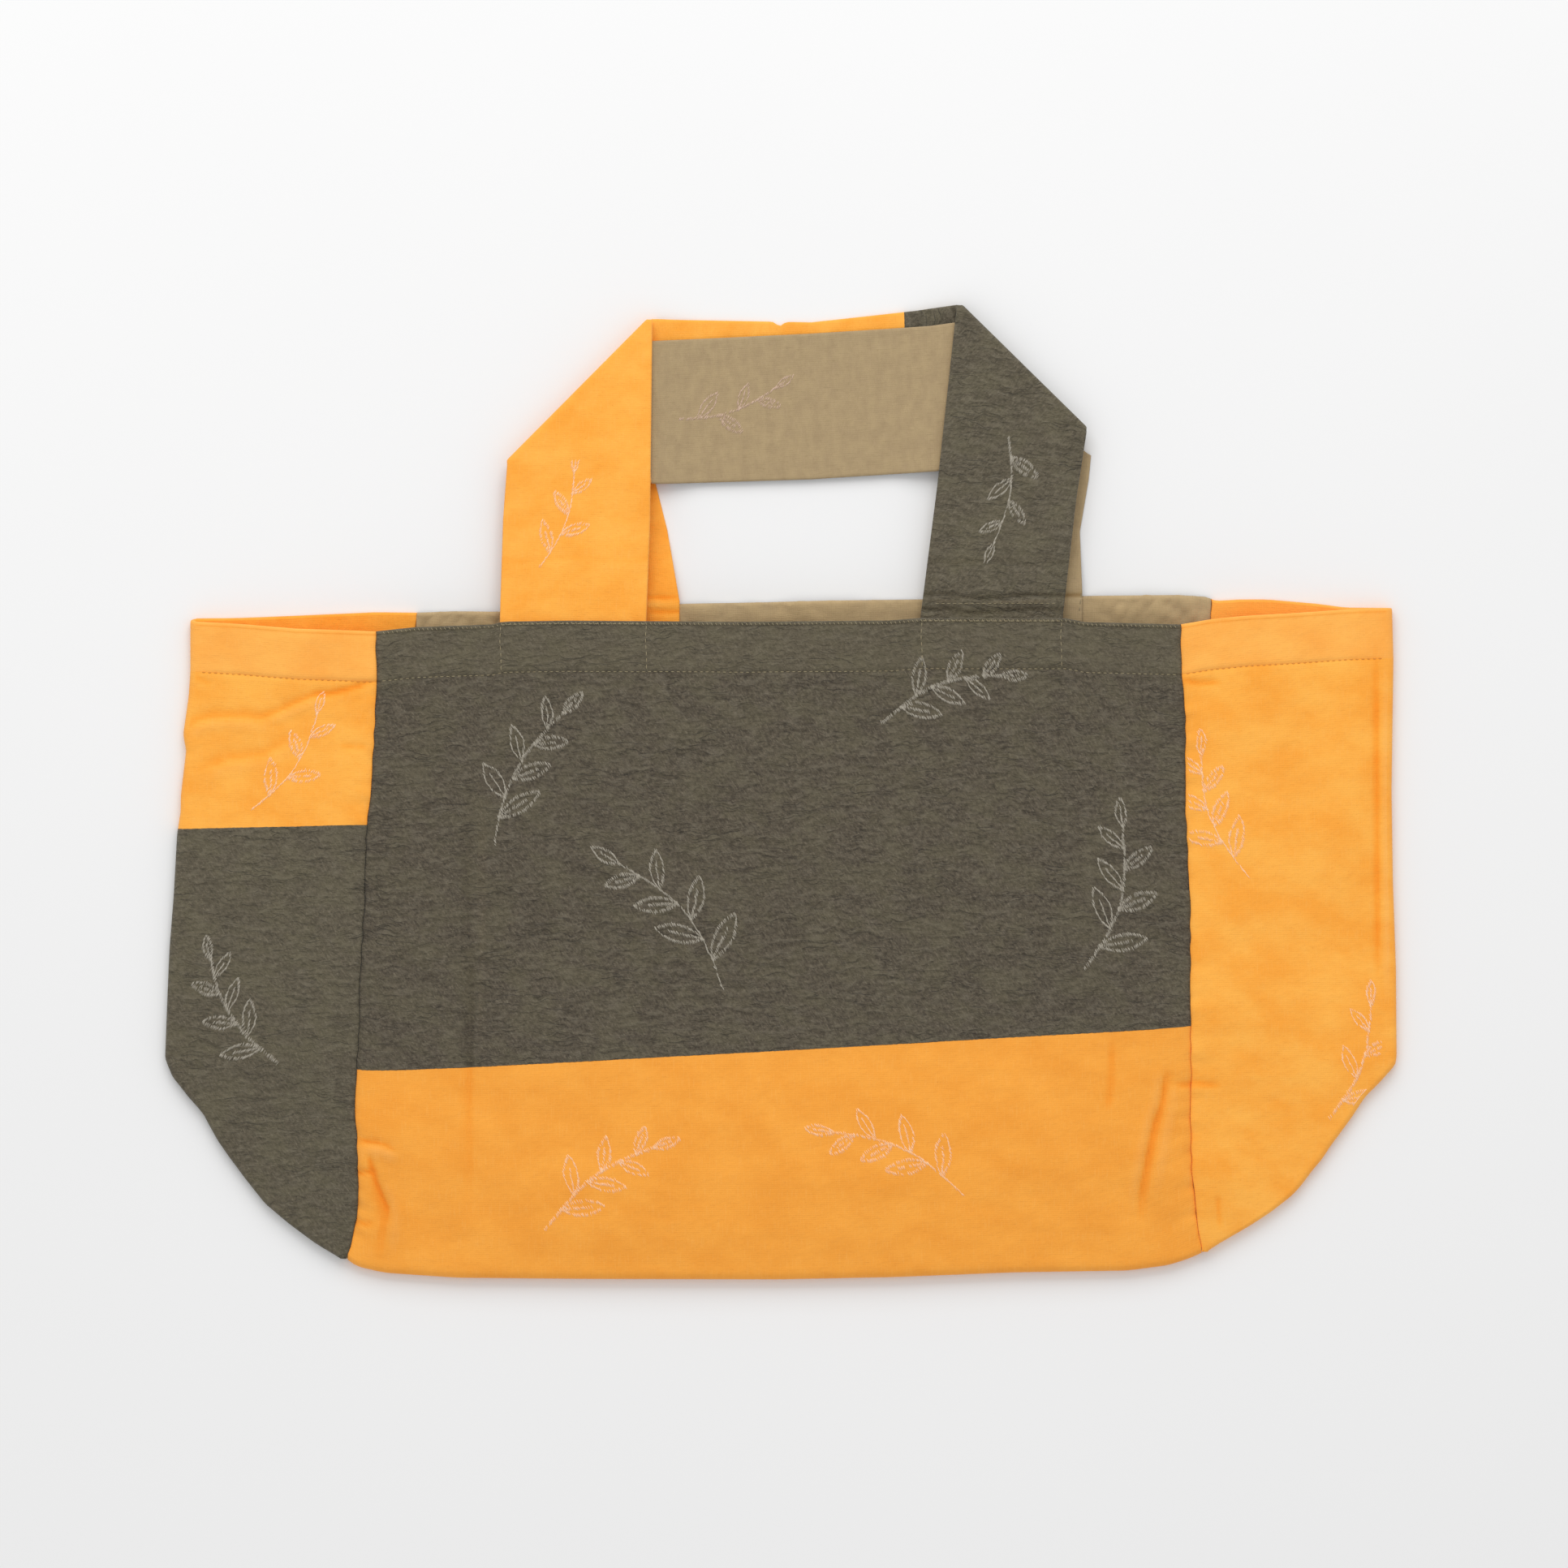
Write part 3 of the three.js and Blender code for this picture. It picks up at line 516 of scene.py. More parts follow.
def orange_look(tree, vector, deep="#F5A03A", light="#FBA942"):
    """Colour and height in mm of the orange face: even, smooth yarn with a few slubs each way, tiny
    specks and soft lighter and darker clouds. Its own colours, on the front and back cloth, are the
    deeper copy, with painted shade for the body's slopes."""
    slub = patches(tree, vector, 4.0, 0.6, roughness=0.6)
    rise = patches(tree, vector, 0.6, 7.0, 0, (13.0, 5.0), 2.0, 0.6)
    speck = patches(tree, vector, 0.9, 0.7, 0, (3.0, 8.0), 1.0)
    broad = patches(tree, vector, 24.0, 16.0, 20, detail=4.0, roughness=0.55)
    soft = patches(tree, vector, 9.0, 6.0, -20, (3.0, 9.0), 3.0, 0.55)
    colour = tinted(tree, linear(deep), linear(light), broad, 0.36, 0.64)
    colour = tinted(tree, colour, linear("#DC8830"), slub, 0.54, 0.74, 0.20)
    colour = tinted(tree, colour, linear("#FFBA60"), rise, 0.52, 0.74, 0.24)
    colour = tinted(tree, colour, linear("#D08430"), speck, 0.67, 0.76, 0.30)
    return colour, summed(tree, (slub, 0.06), (soft, 0.50), (threads(tree, vector), 0.05))


def bright_orange_look(tree, vector):
    """The same orange as a lit copy, painted lighter on the sides and straps, which take more light than the
    front.
    """
    return orange_look(tree, vector, "#FBA63C", "#FFB44C")


def khaki_look(tree, vector):
    """Colour and height in mm of the dark cloth's other face: khaki yarn with rosy and dull threads."""
    rosy = patches(tree, vector, 3.5, 0.6, roughness=0.6)
    dull = patches(tree, vector, 0.6, 5.0, 0, (19.0, 4.0), 2.0, 0.6)
    speck = patches(tree, vector, 0.9, 0.7, 0, (3.0, 8.0), 1.0)
    mottle = patches(tree, vector, 7.0, 4.0, detail=3.0, roughness=0.55)
    colour = tinted(tree, linear("#A48E6C"), linear("#AD9772"), mottle, 0.34, 0.66)
    colour = tinted(tree, colour, linear("#B89F80"), rosy, 0.52, 0.74, 0.24)
    colour = tinted(tree, colour, linear("#8A7656"), dull, 0.52, 0.74, 0.30)
    colour = tinted(tree, colour, linear("#7C6B49"), speck, 0.67, 0.76, 0.28)
    return colour, summed(tree, (mottle, 0.35), (threads(tree, vector), 0.05))


def woven_cloth(name, first, second=None, change=0.0, slope=0.0, back=None, hem=None):
    """Matt cotton weave. The second look takes over where the cloth's own v, in mm, passes
    change + slope times u, and gives way again past back. The edge follows the threads. A doubled
    hem shows a little paler, by the colour hem. The point attribute tone is the depth in mm to which
    creases are pressed in, and carries painted light: painted shade deepens the colour in the creases,
    the seams and the hem's lines, and a painted highlight pales it where folds stand up and tone is below
    zero."""
    material, tree = new_material(name)
    vector = add_node(tree, "UVMap", uv_map="cloth_mm").outputs["UV"]
    place = add_node(tree, "SeparateXYZ", {"Vector": vector}).outputs
    colour, height = first(tree, vector)
    if second is not None:
        ragged = patches(tree, vector, 1.4, 0.5, detail=1.0)
        past = summed(tree, (place["Y"], 1.0), (place["X"], -slope), (ragged, 0.4))
        share = add_node(tree, "MapRange", {
            "Value": past, "From Min": change + 0.1, "From Max": change + 0.35}).outputs["Result"]
        if back is not None:
            ahead = add_node(tree, "MapRange", {
                "Value": place["Y"], "From Min": back, "From Max": back + 0.3, "To Min": 1.0, "To Max": 0.0})
            share = add_node(tree, "Math", {0: share, 1: ahead.outputs["Result"]},
                             operation="MULTIPLY").outputs["Value"]
        other_colour, other_height = second(tree, vector)
        colour = add_node(tree, "MixRGB", {
            "Fac": share, "Color1": colour, "Color2": other_colour}).outputs["Color"]
        rise = summed(tree, (other_height, 1.0), (height, -1.0))
        height = add_node(tree, "Math", {0: rise, 1: share, 2: height},
                          operation="MULTIPLY_ADD").outputs["Value"]
    if hem is not None:
        colour = tinted(tree, colour, linear(hem), place["Y"], hem_depth, hem_depth - 0.8, 0.25)
    # Painted shade and painted highlight: tone darkens the colour through a gamma, and below zero tints it
    # pale.
    crease = add_node(tree, "Attribute", attribute_name="tone").outputs["Fac"]
    power = add_node(tree, "MapRange", {
        "Value": crease, "From Min": 0.05, "From Max": 1.05, "To Min": 1.0, "To Max": 1.36}).outputs["Result"]
    colour = add_node(tree, "Gamma", {"Color": colour, "Gamma": power}).outputs["Color"]
    colour = tinted(tree, colour, linear("#FFD898"), crease, -0.1, -1.1, 0.12)
    bump = add_node(tree, "Bump", {"Height": height, "Strength": 1.0, "Distance": 0.001})
    shader = add_node(tree, "BsdfPrincipled", {
        "Base Color": colour, "Normal": bump.outputs["Normal"], "Roughness": 0.92,
        "Specular IOR Level": 0.12, "Sheen Weight": 0.12, "Sheen Roughness": 0.6})
    add_node(tree, "OutputMaterial", {"Surface": shader.outputs["BSDF"]})
    return material


panel_change, panel_slope = 184.7, -0.054
back_change = 383.0  # v at which the back turns dark again
panel_face = woven_cloth("double_weave_olive_over_orange", olive_look, orange_look,
                         panel_change, panel_slope, back_change, hem="#726B54")
panel_lining = woven_cloth("double_weave_khaki_over_orange", khaki_look, orange_look,
                           panel_change, panel_slope, back_change)
panel = make_object("front_and_back_cloth", points, faces, [panel_face, panel_lining],
                    uv=panel_uv.reshape(-1, 2)[cell], slots=slots, tone=pressed.ravel()[cell])
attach(panel, "root")
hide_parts("main_panel")

# Side cloths. Each is one tapered piece of the same weave, sewn to the front and the back and folded
# down its middle, so that it lies beside the front as a wing. The left one is orange above and dark
# below, the right one all orange.
left_fold = np.array([
    (0, -254.6), (22.4, -254.6), (32.5, -255.3), (39.5, -256.3), (49, -257.7), (56, -256.4),
    (75, -258.7), (82, -258.8), (91.7, -260.3), (118.3, -261.8), (141, -263.6), (159.2, -264.4),
    (180, -265.2), (188, -265.5), (190.5, -264.6), (196, -262.3), (199.8, -259.2), (204.5, -255.6),
    (209, -251.5), (212.5, -248.7), (215.5, -247.2), (223, -243.1), (229, -239), (239, -231.6),
    (250.3, -222.7), (258.6, -212.9), (267.4, -201.1), (274.9, -188.6)])
right_fold = np.array([
    (0, 263.4), (22.4, 264.0), (36.4, 263.8), (74.9, 263.2), (112.3, 263.8), (149.8, 265.1),
    (187.3, 265.4), (190.8, 264.9), (199, 257.5), (203.7, 252.6), (207, 250.2), (212, 247.0),
    (216, 244.2), (221, 240.5), (225.4, 237.2), (231.4, 233.3), (236.3, 229.1), (243, 224.1),
    (247, 220.4), (254.1, 211.3), (260, 202.2), (268.1, 188.2), (271.9, 182.6)])
fold_steps = 9


def side_cloth(side, seam, fold, last, rise_seed):
    """Middle surface of a folded side cloth, with its cloth coordinates. Each row runs from the front
    seam out to the fold, round a half circle and back to the back seam. The rows lie from the mouth
    down to last, where only a narrow end is left."""
    share = np.concatenate([[0, 0.0015, 0.004, 0.009, 0.018], np.arange(0.034, 0.996, 0.0162), [1.0]])
    depth = np.concatenate([hem_rows, np.arange(25.6, last - 3, 1.6),
                            [last - 2, last - 1.1, last - 0.5, last - 0.15, last]])[:, None]
    at = depth / level_depth
    bend = (loft * along(fold_height, at, 0.02) - wall / 2) / 2
    seam_x = seam_line(seam, depth) + side * seam_gap / 2
    fold_x = along(fold, depth, 1.6)
    least = bend + wall / 2 + 0.4
    fold_x = side * np.maximum(side * fold_x, side * seam_x + least)
    edge_x = fold_x - side * (wall / 2 + bend)
    x = seam_x + (edge_x - seam_x) * share
    y = row_y(depth, along(front_rim, x[:1], 1.2))
    away = np.abs(x - seam_x)
    top = along(seam_height, at, 0.02)
    low = along(fold_height, at, 0.02)
    eased = share * share * (3 - 2 * share)
    z = loft * (top + (low - top) * (0.55 * share + 0.45 * eased))
    relief, pressed = fold_relief(x, y)
    relief = (relief + loose_relief(x, y) * (1 - share ** 6)) * (1 - share ** 30)
    ends = 1 - np.clip((at - 0.90) / 0.08, 0, 1)
    relief = relief * ends + seam_relief(away, depth + 0 * share, rise_seed) * (0.25 + 0.75 * ends)
    relief = relief + hem_relief(depth, x, 2.0) * (1 - share ** 8)
    upper = np.stack([x, y, z + relief], -1)
    angle = np.pi * np.arange(1, fold_steps)[None, :] / fold_steps
    round_x = fold_x - side * (wall / 2 + bend * (1 - np.sin(angle)))
    back_edge = row_y(depth, along(back_rim, edge_x[:1], 1.2))
    turn = angle / np.pi
    round_y = y[:, -1:] * (1 - turn) + back_edge * turn
    around = np.stack([round_x, round_y, wall / 2 + bend * (1 + np.cos(angle))], -1)
    back_seam = seam_x + back_shift[side > 0] * (1 - np.clip(depth / body_drop, 0, 1))
    under_share = np.concatenate([1 - np.arange(0, 1, 0.05), [0.02, 0.01, 0.004, 0]])[None, :]
    under_x = back_seam + (edge_x - back_seam) * under_share
    under_y = row_y(depth, along(back_rim, under_x[:1], 1.2))
    under = np.stack([under_x, under_y, wall / 2 + 0 * under_x], -1)
    middle = np.concatenate([upper, around, under], 1)
    row_away = np.minimum(depth[:, 0], last - depth[:, 0])
    from_seam = np.concatenate([away, 20 + 0 * round_x, np.abs(under_x - back_seam)], 1)
    edge = np.minimum(round_edge(row_away, 1.1)[:, None], round_edge(from_seam, 0.5))
    inside = np.where(depth < hem_depth, 1.5 * wall, 0.5 * wall) + 0 * from_seam
    length = np.linalg.norm(np.diff(middle, axis=1, prepend=middle[:, :1]), axis=2).cumsum(1)
    uv = np.stack([side * length + middle[:, :1, 0], depth + 0 * length], -1)
    tone = np.zeros(length.shape)
    # Painted shade in the folds' creases, along the hem's two lines and in the seam's groove.
    tone[:, :len(share)] = pressed + painted_hem_shade_lines(depth) + 0.4 * np.exp(-(away / 0.9) ** 2)
    # The strip of the back hem that shows past the front gets painted shade, a little deeper in colour, where
    # it lies low under the front's edge.
    tone[:, len(share):] = 0.35 * (depth < 12) * (middle[:, len(share):, 2] < 3)
    if side < 0:
        middle, inside, edge = middle[:, ::-1], inside[:, ::-1], edge[:, ::-1]
        uv, tone = uv[:, ::-1], tone[:, ::-1]
    return middle, inside, edge, uv, tone, (depth[:, 0], share, seam_x[:, 0], edge_x[:, 0])


left_change, left_slope = 79.3, -0.039
orange_weave = woven_cloth("double_weave_orange", bright_orange_look, hem="#FFB868")
left_face = woven_cloth("double_weave_orange_over_olive", bright_orange_look, paler_olive_look,
                        left_change, left_slope, hem="#FFB868")
left_lining = woven_cloth("double_weave_orange_over_khaki", bright_orange_look, khaki_look,
                          left_change, left_slope)
wings = {}
for name, side, seam, fold, last, node, looks in (
        ("left_wing", -1, left_seam, left_fold, 274.6, "left_side_panel", [left_face, left_lining]),
        ("right_wing", 1, right_seam, right_fold, 271.6, "right_side_panel", [orange_weave, orange_weave])):
    middle, inside, edge, uv, tone, keys = side_cloth(side, seam, fold, last, 5 + side)
    points, faces, slots, cell, outer, normal = closed_cloth(middle, wall / 2, inside, edge)
    wing = make_object(name, points, faces, looks, uv=uv.reshape(-1, 2)[cell], slots=slots,
                       tone=tone.ravel()[cell])
    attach(wing, "root")
    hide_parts(node)
    outward = slice(None, None, side)
    wings[name] = (wing, outer[:, outward], normal[:, outward], keys)

# Straps. Each is a strip of the same double weave, turned to 63.5 mm and folded over diagonally twice.
# The front one's ends are sewn inside the front hem. The back one lies under it, sewn on the back hem.
strap_thickness = 1.4
strap_width = 63.5
leg_spacing = 180.0
handle_rise = 137.0
layer_slack = 1.0
# One row for each crossing line: x as a share of leg_spacing, height above the mouth as a share of
# handle_rise, direction in degrees, length as a share of strap_width, layer from the table, and
# whether it is the crease of a diagonal fold.
front_strap = [
    (-0.489, 0.322, 0, 0.998, 3, False), (-0.489, 0.729, 45.2, 1.400, 3, True),
    (-0.306, 0.657, 93.6, 0.972, 2, False), (0.073, 0.677, 90, 0.990, 2, False),
    (0.365, 0.701, 92.9, 0.988, 2, False), (0.5319, 0.7508, 121.4, 0.983, 2, False),
    (0.5833, 0.8037, 135.5, 1.233, 2, True),
    (0.540, 0.404, 174.6, 0.947, 3, False)]
# Its two feet: x, length and direction as above. Then the height of their middle, sewn and free.
front_feet = (-0.497, 0.995, 0), (0.504, 0.965, 180)
front_foot_heights = 10.0, 9.6
back_strap = [
    (-0.448, 0.268, 5, 1.0, 0, False), (-0.4744, 0.4074, 8, 0.993, 0, False),
    (-0.474, 0.7263, 46.5, 1.400, 0, True),
    (-0.249, 0.720, 90, 0.992, 1, False), (0.073, 0.715, 90, 0.980, 1, False),
    (0.326, 0.750, 90, 0.987, 1, False), (0.5775, 0.7785, 130.8, 1.295, 1, True),
    (0.5667, 0.529, 178.6, 0.999, 0, False),
    (0.561, 0.449, 180, 1.0, 0, False), (0.540, 0.283, 180, 0.998, 0, False)]
back_feet = (-0.419, 1.0, 0), (0.545, 1.0, 180)
back_foot_heights = 3.4, 3.3


def layer_height(layer):
    """Height of the middle of a strap layer above the table."""
    return strap_thickness / 2 + layer * (strap_thickness + layer_slack)


def crossing(x, y, z, turn, length):
    """Two ends of a crossing line of a strap."""
    reach = 0.5 * length * np.array([np.cos(np.radians(turn)), np.sin(np.radians(turn)), 0.0])
    centre = np.array([x, y, z])
    return np.stack([centre - reach, centre + reach])


def strap_lines(strap, feet, foot_heights, rim, lift):
    """Crossing lines of a strap from foot to foot, and which of its three straight parts each is in.
    Round a diagonal fold they stay parallel to the crease, on a half circle between the two layers,
    and shrink by 1.2 mm at each end where the corner is rounded."""
    lines = []
    parts = []

    def foot(x_share, length, turn, order, part):
        x = x_share * leg_spacing
        edge = mouth_y + along(rim, x, 2.0)
        for y in order:
            lines.append(crossing(x, edge + y, foot_heights[y > 0], turn, length * strap_width))
            parts.append(part)

    foot(*feet[0], (-0.95 * hem_depth, -2.0, lift), 0)
    for k, (x, up, turn, length, layer, folded) in enumerate(strap):
        part = sum(row[5] for row in strap[:k])
        place_y = mouth_y + up * handle_rise
        if not folded:
            lines.append(crossing(x * leg_spacing, place_y, layer_height(layer), turn, length * strap_width))
            parts.append(part)
            continue
        other = strap[k + 1][4]
        bend = abs(layer_height(other) - layer_height(layer)) / 2
        mid = (layer_height(other) + layer_height(layer)) / 2
        down = np.sign(layer_height(layer) - layer_height(other))
        inwards = np.array([np.sin(np.radians(turn)), -np.cos(np.radians(turn)), 0.0])
        inwards = -inwards * np.sign(inwards[1])
        for angle in np.linspace(0, np.pi, 9):
            aside = strap_thickness / 2 + bend * (1 - np.sin(angle))
            z = mid + down * bend * np.cos(angle)
            length_here = length * strap_width - 2.4 * np.sin(angle)
            lines.append(crossing(x * leg_spacing, place_y, z, turn, length_here) + inwards * aside)
            parts.append(part + (angle > np.pi / 2))
    foot(*feet[1], (lift, -2.0, -0.95 * hem_depth), 2)
    return np.array(lines), np.array(parts)


def strap_grid(lines, parts, seed):
    """Middle surface of a strap from its crossing lines, with rows at most 1.7 mm apart and small
    waves, and its cloth coordinates: u across the strap and v along it, both measured in the plane of
    each straight part, so that the threads stay straight up to each fold."""
    steps = np.linalg.norm(np.diff(lines, axis=0), axis=2).max(1)
    counts = np.maximum(1, np.ceil(steps / 1.7)).astype(int)
    whole = [k + np.arange(count) / count for k, count in enumerate(counts)]
    whole = np.concatenate([*whole, [len(lines) - 1.0]])
    key = np.arange(len(lines))
    start, end = [np.stack([np.interp(whole, key, lines[:, side, axis]) for axis in range(3)], -1)
                  for side in (0, 1)]
    across = np.concatenate([[0, 0.25, 0.8, 1.6], np.arange(3.0, 61, 1.75), [61.9, 62.7, 63.25, 63.5]])
    across = across / strap_width
    middle = start[:, None] * (1 - across)[None, :, None] + end[:, None] * across[None, :, None]
    # Gentle changes of height are smoothed, and the folds stay as they are.
    for _ in range(6):
        flat = middle[1:-1, :, 2] * 0.5 + 0.25 * (middle[:-2, :, 2] + middle[2:, :, 2])
        gentle = np.abs(np.gradient(middle[:, :, 2], axis=0))[1:-1] < 0.25
        middle[1:-1, :, 2] = np.where(gentle, flat, middle[1:-1, :, 2])
    centre = lines.mean(1)[:, :2]
    turns = [0, *[int(np.flatnonzero(parts == part)[0]) for part in (1, 2)], len(lines) - 1]
    part_of_row = parts[np.minimum(np.round(whole).astype(int), len(parts) - 1)]
    u = np.zeros(middle.shape[:2])
    v = np.zeros(middle.shape[:2])
    passed = 0.0
    for part in range(3):
        first, last = centre[turns[part]], centre[turns[part + 1]]
        length = np.linalg.norm(last - first)
        onward = (last - first) / length
        aside = np.array([-onward[1], onward[0]])
        widest = lines[turns[part] + 1, 1, :2] - lines[turns[part] + 1, 0, :2]
        aside = aside * np.sign(aside @ widest)
        here = part_of_row == part
        u[here] = (middle[here][..., :2] - first) @ aside
        v[here] = passed + (middle[here][..., :2] - first) @ onward
        passed += length
    middle[..., 2] += ripples(u, v, seed, 60, 25, 0.10) + ripples(u, v, seed + 1, 18, 8, 0.03)
    run = np.concatenate([[0], np.linalg.norm(np.diff(middle.mean(1), axis=0), axis=1).cumsum()])
    row_away = np.minimum(run, run[-1] - run)
    edge_away = np.minimum(across, 1 - across) * strap_width
    edge = np.minimum(round_edge(row_away, 0.8)[:, None], round_edge(edge_away, 1.0)[None, :])
    return middle, edge, np.stack([u, v], -1), part_of_row


def foot_creases(middle, part_of_row, strap):
    """Depth in mm of the creases across a strap's ends, where it is pressed over the mouth. Each row
    is the part, the crease's height above the nominal mouth line, its breadth and its depth."""
    rows = {
        "front_strap": [(2, 11.0, 0.9, 0.9), (2, 8.9, 0.9, -0.4), (2, 5.0, 1.1, 0.9), (2, 26.0, 1.6, 0.3),
                        (0, 27.0, 1.8, 0.2)],
        "back_strap": [(0, 9.9, 0.8, 0.8), (0, 7.6, 0.9, -0.4), (0, 5.0, 0.8, 0.9), (2, 12.2, 1.0, 1.2)]}
    pressed = np.zeros(middle.shape[:2])
    for part, above, breadth, deep in rows[strap]:
        here = (part_of_row == part)[:, None]
        bend = 0.7 * np.sin(middle[..., 0] / 7.0 + above)
        pressed += here * deep * np.exp(-((middle[..., 1] - mouth_y - above - bend) / breadth) ** 2)
    return pressed


def sag(middle, part_of_row, drop):
    """How far the stretch between the legs sinks: drop, eased in over 26 mm beside each leg."""
    near = np.clip((middle[..., 0] + 57) / 26, 0, 1) * np.clip((70 - middle[..., 0]) / 26, 0, 1)
    return drop * near * near * (3 - 2 * near) * (part_of_row == 1)[:, None]


def back_strap_dent(middle):
    """Small pucker in the back strap's upper edge, near the middle of the handles."""
    across = np.linspace(0, 1, middle.shape[1])[None, :]
    near = np.exp(-((middle[..., 0] + 0.6) / 1.8) ** 2) * (middle[..., 1] > mouth_y + 90)
    middle[..., 1] -= 1.9 * near * np.clip((across - 0.86) / 0.14, 0, 1)
    middle[..., 2] -= 0.5 * near * across ** 4


strap_looks = {
    "front_strap": [woven_cloth("strap_reverse_orange_over_khaki", bright_orange_look, khaki_look, 149.3),
                    woven_cloth("strap_face_orange_over_olive", bright_orange_look, paler_olive_look, 156.0)],
    "back_strap": [woven_cloth("back_strap_face", bright_orange_look, paler_olive_look, 253.0),
                   woven_cloth("back_strap_reverse", bright_orange_look, khaki_look, 253.0)],
}
straps = {}
for name, strap, feet, foot_heights, rim, lift, seed, drop, node in (
        ("back_strap", back_strap, back_feet, back_foot_heights, back_rim, 2.5, 22, 2.3, "back_handle"),
        ("front_strap", front_strap, front_feet, front_foot_heights, front_rim, 1.0, 21, 3.1,
         "front_handle")):
    lines, parts = strap_lines(strap, feet, foot_heights, rim, lift)
    middle, edge, uv, part_of_row = strap_grid(lines, parts, seed)
    pressed = foot_creases(middle, part_of_row, name)
    middle[..., 2] -= 0.6 * pressed + sag(middle, part_of_row, drop)
    if name == "back_strap":
        # Painted shade on the back strap's first leg, which lies low under the front strap.
        pressed = pressed + 0.35 * (part_of_row == 0)[:, None]
        back_strap_dent(middle)
    middle[..., 2] = np.maximum(middle[..., 2], strap_thickness / 2)
    inside = np.full(edge.shape, strap_thickness / 2)
    points, faces, slots, cell, outer, normal = closed_cloth(middle, strap_thickness / 2, inside, edge)
    piece = make_object(name, points, faces, strap_looks[name], uv=uv.reshape(-1, 2)[cell], slots=slots,
                        tone=pressed.ravel()[cell])
    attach(piece, "root")
    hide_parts(node)
    straps[name] = (piece, middle, normal, part_of_row)

# Stitches. One row of tan cotton lockstitches, 2.5 mm apart, holds the turned hem all round the mouth.
# Upright rows hold the front strap's ends inside it, fine slanting stitches close the mouth's edge,
# and a short row crosses one end of each strap.
stitch_pitch = 2.5
stitch_length = 1.7


def thread_mesh(centre, normal, breadth, height):
    """Closed short threads. centre and normal are arrays (threads, points, 3) along each thread. The
    section is an ellipse of that breadth and height with six corners, drawn in at both ends."""
    count, steps = centre.shape[:2]
    tangent = np.gradient(centre, axis=1)
    tangent /= np.linalg.norm(tangent, axis=2, keepdims=True)
    side = np.cross(tangent, normal)
    side /= np.linalg.norm(side, axis=2, keepdims=True)
    angle = np.arange(6) * np.pi / 3
    taper = np.sqrt(np.sin(np.pi * (0.06 + 0.88 * np.arange(steps) / (steps - 1))))[None, :, None, None]
    wide = side[:, :, None] * np.cos(angle)[None, None, :, None] * breadth / 2
    tall = normal[:, :, None] * np.sin(angle)[None, None, :, None] * height / 2
    points = (centre[:, :, None] + taper * (wide + tall)).reshape(-1, 3)
    first = (np.arange(count) * steps * 6)[:, None]
    ring = np.arange(6)
    step = (np.arange(steps - 1) * 6)[:, None]
    here, following = (step + ring).ravel(), (step + (ring + 1) % 6).ravel()
    sides = np.stack([here, here + 6, following + 6, following], -1)
    last = (steps - 1) * 6
    caps = np.array([[0, 1, 2, 3], [0, 3, 4, 5], [last + 3, last + 2, last + 1, last],
                     [last + 5, last + 4, last + 3, last]])
    faces = (first[:, :, None] + np.concatenate([sides, caps])[None]).reshape(-1, 4)
    return points, faces


def on_cloth(outer, normal, row_keys, column_keys, v, u):
    """Point and normal of a cloth's outer face at cloth coordinates, straight between grid points."""
    row = np.interp(v, row_keys, np.arange(len(row_keys)))
    column = np.interp(u, column_keys, np.arange(len(column_keys)))
    i = np.minimum(row.astype(int), len(row_keys) - 2)
    j = np.minimum(column.astype(int), len(column_keys) - 2)
    a, b = (row - i)[..., None], (column - j)[..., None]

    def at(grid):
        return ((1 - a) * ((1 - b) * grid[i, j] + b * grid[i, j + 1])
                + a * ((1 - b) * grid[i + 1, j] + b * grid[i + 1, j + 1]))

    facing = at(normal)
    return at(outer), facing / np.linalg.norm(facing, axis=-1, keepdims=True)


def on_panel(u, v):
    """Place on the front cloth, u mm from its middle and v mm down from the mouth."""
    return on_cloth(panel_outer, panel_normal, front_depth, panel_across * half_width, v, u)


def on_wing(name, u, v):
    """Place on a wing, u mm out from its seam and v mm down from the mouth."""
    outer, normal, (depth, share, seam_x, edge_x) = wings[name][1:]
    width = np.interp(v, depth, np.abs(edge_x - seam_x))
    return on_cloth(outer, normal, depth, share, v, np.clip(u / width, 0, 1))


def on_strap(name, parts, x, y):
    """Place on the face of a strap's part that is seen from above, nearest to x and y."""
    middle, normal, part_of_row = straps[name][1:]
    rows = np.isin(part_of_row, parts)
    points = middle[rows][:, 4:-4].reshape(-1, 3)
    facing = normal[rows][:, 4:-4].reshape(-1, 3)
    facing = facing * np.sign(facing[:, 2:])
    flat = np.stack([x.ravel(), y.ravel()], -1)
    nearest = ((flat[:, None] - points[None, :, :2]) ** 2).sum(-1).argmin(1)
    found, up = points[nearest], facing[nearest]
    z = found[:, 2] - ((flat - found[:, :2]) * up[:, :2]).sum(-1) / up[:, 2]
    place = np.stack([flat[:, 0], flat[:, 1], z], -1) + up * strap_thickness / 2
    return place.reshape(*x.shape, 3), up.reshape(*x.shape, 3)


def stitches(start, end):
    """Stitches in a row between two places given as (u, v): five points (u, v) along each, and how
    high they stand, which is a half wave."""
    start, end = np.array(start, float), np.array(end, float)
    length = np.linalg.norm(end - start)
    count = max(1, int(length / stitch_pitch))
    along_stitch = (np.arange(5)[None, :] / 4 - 0.5) * stitch_length / stitch_pitch
    share = (np.arange(count)[:, None] + 0.5 + along_stitch) / count
    spots = start + share[..., None] * (end - start)
    lift = 0.26 * np.sin(np.pi * np.arange(5) / 4)[None, :] - 0.10 + 0 * share
    return spots[..., 0], spots[..., 1], lift


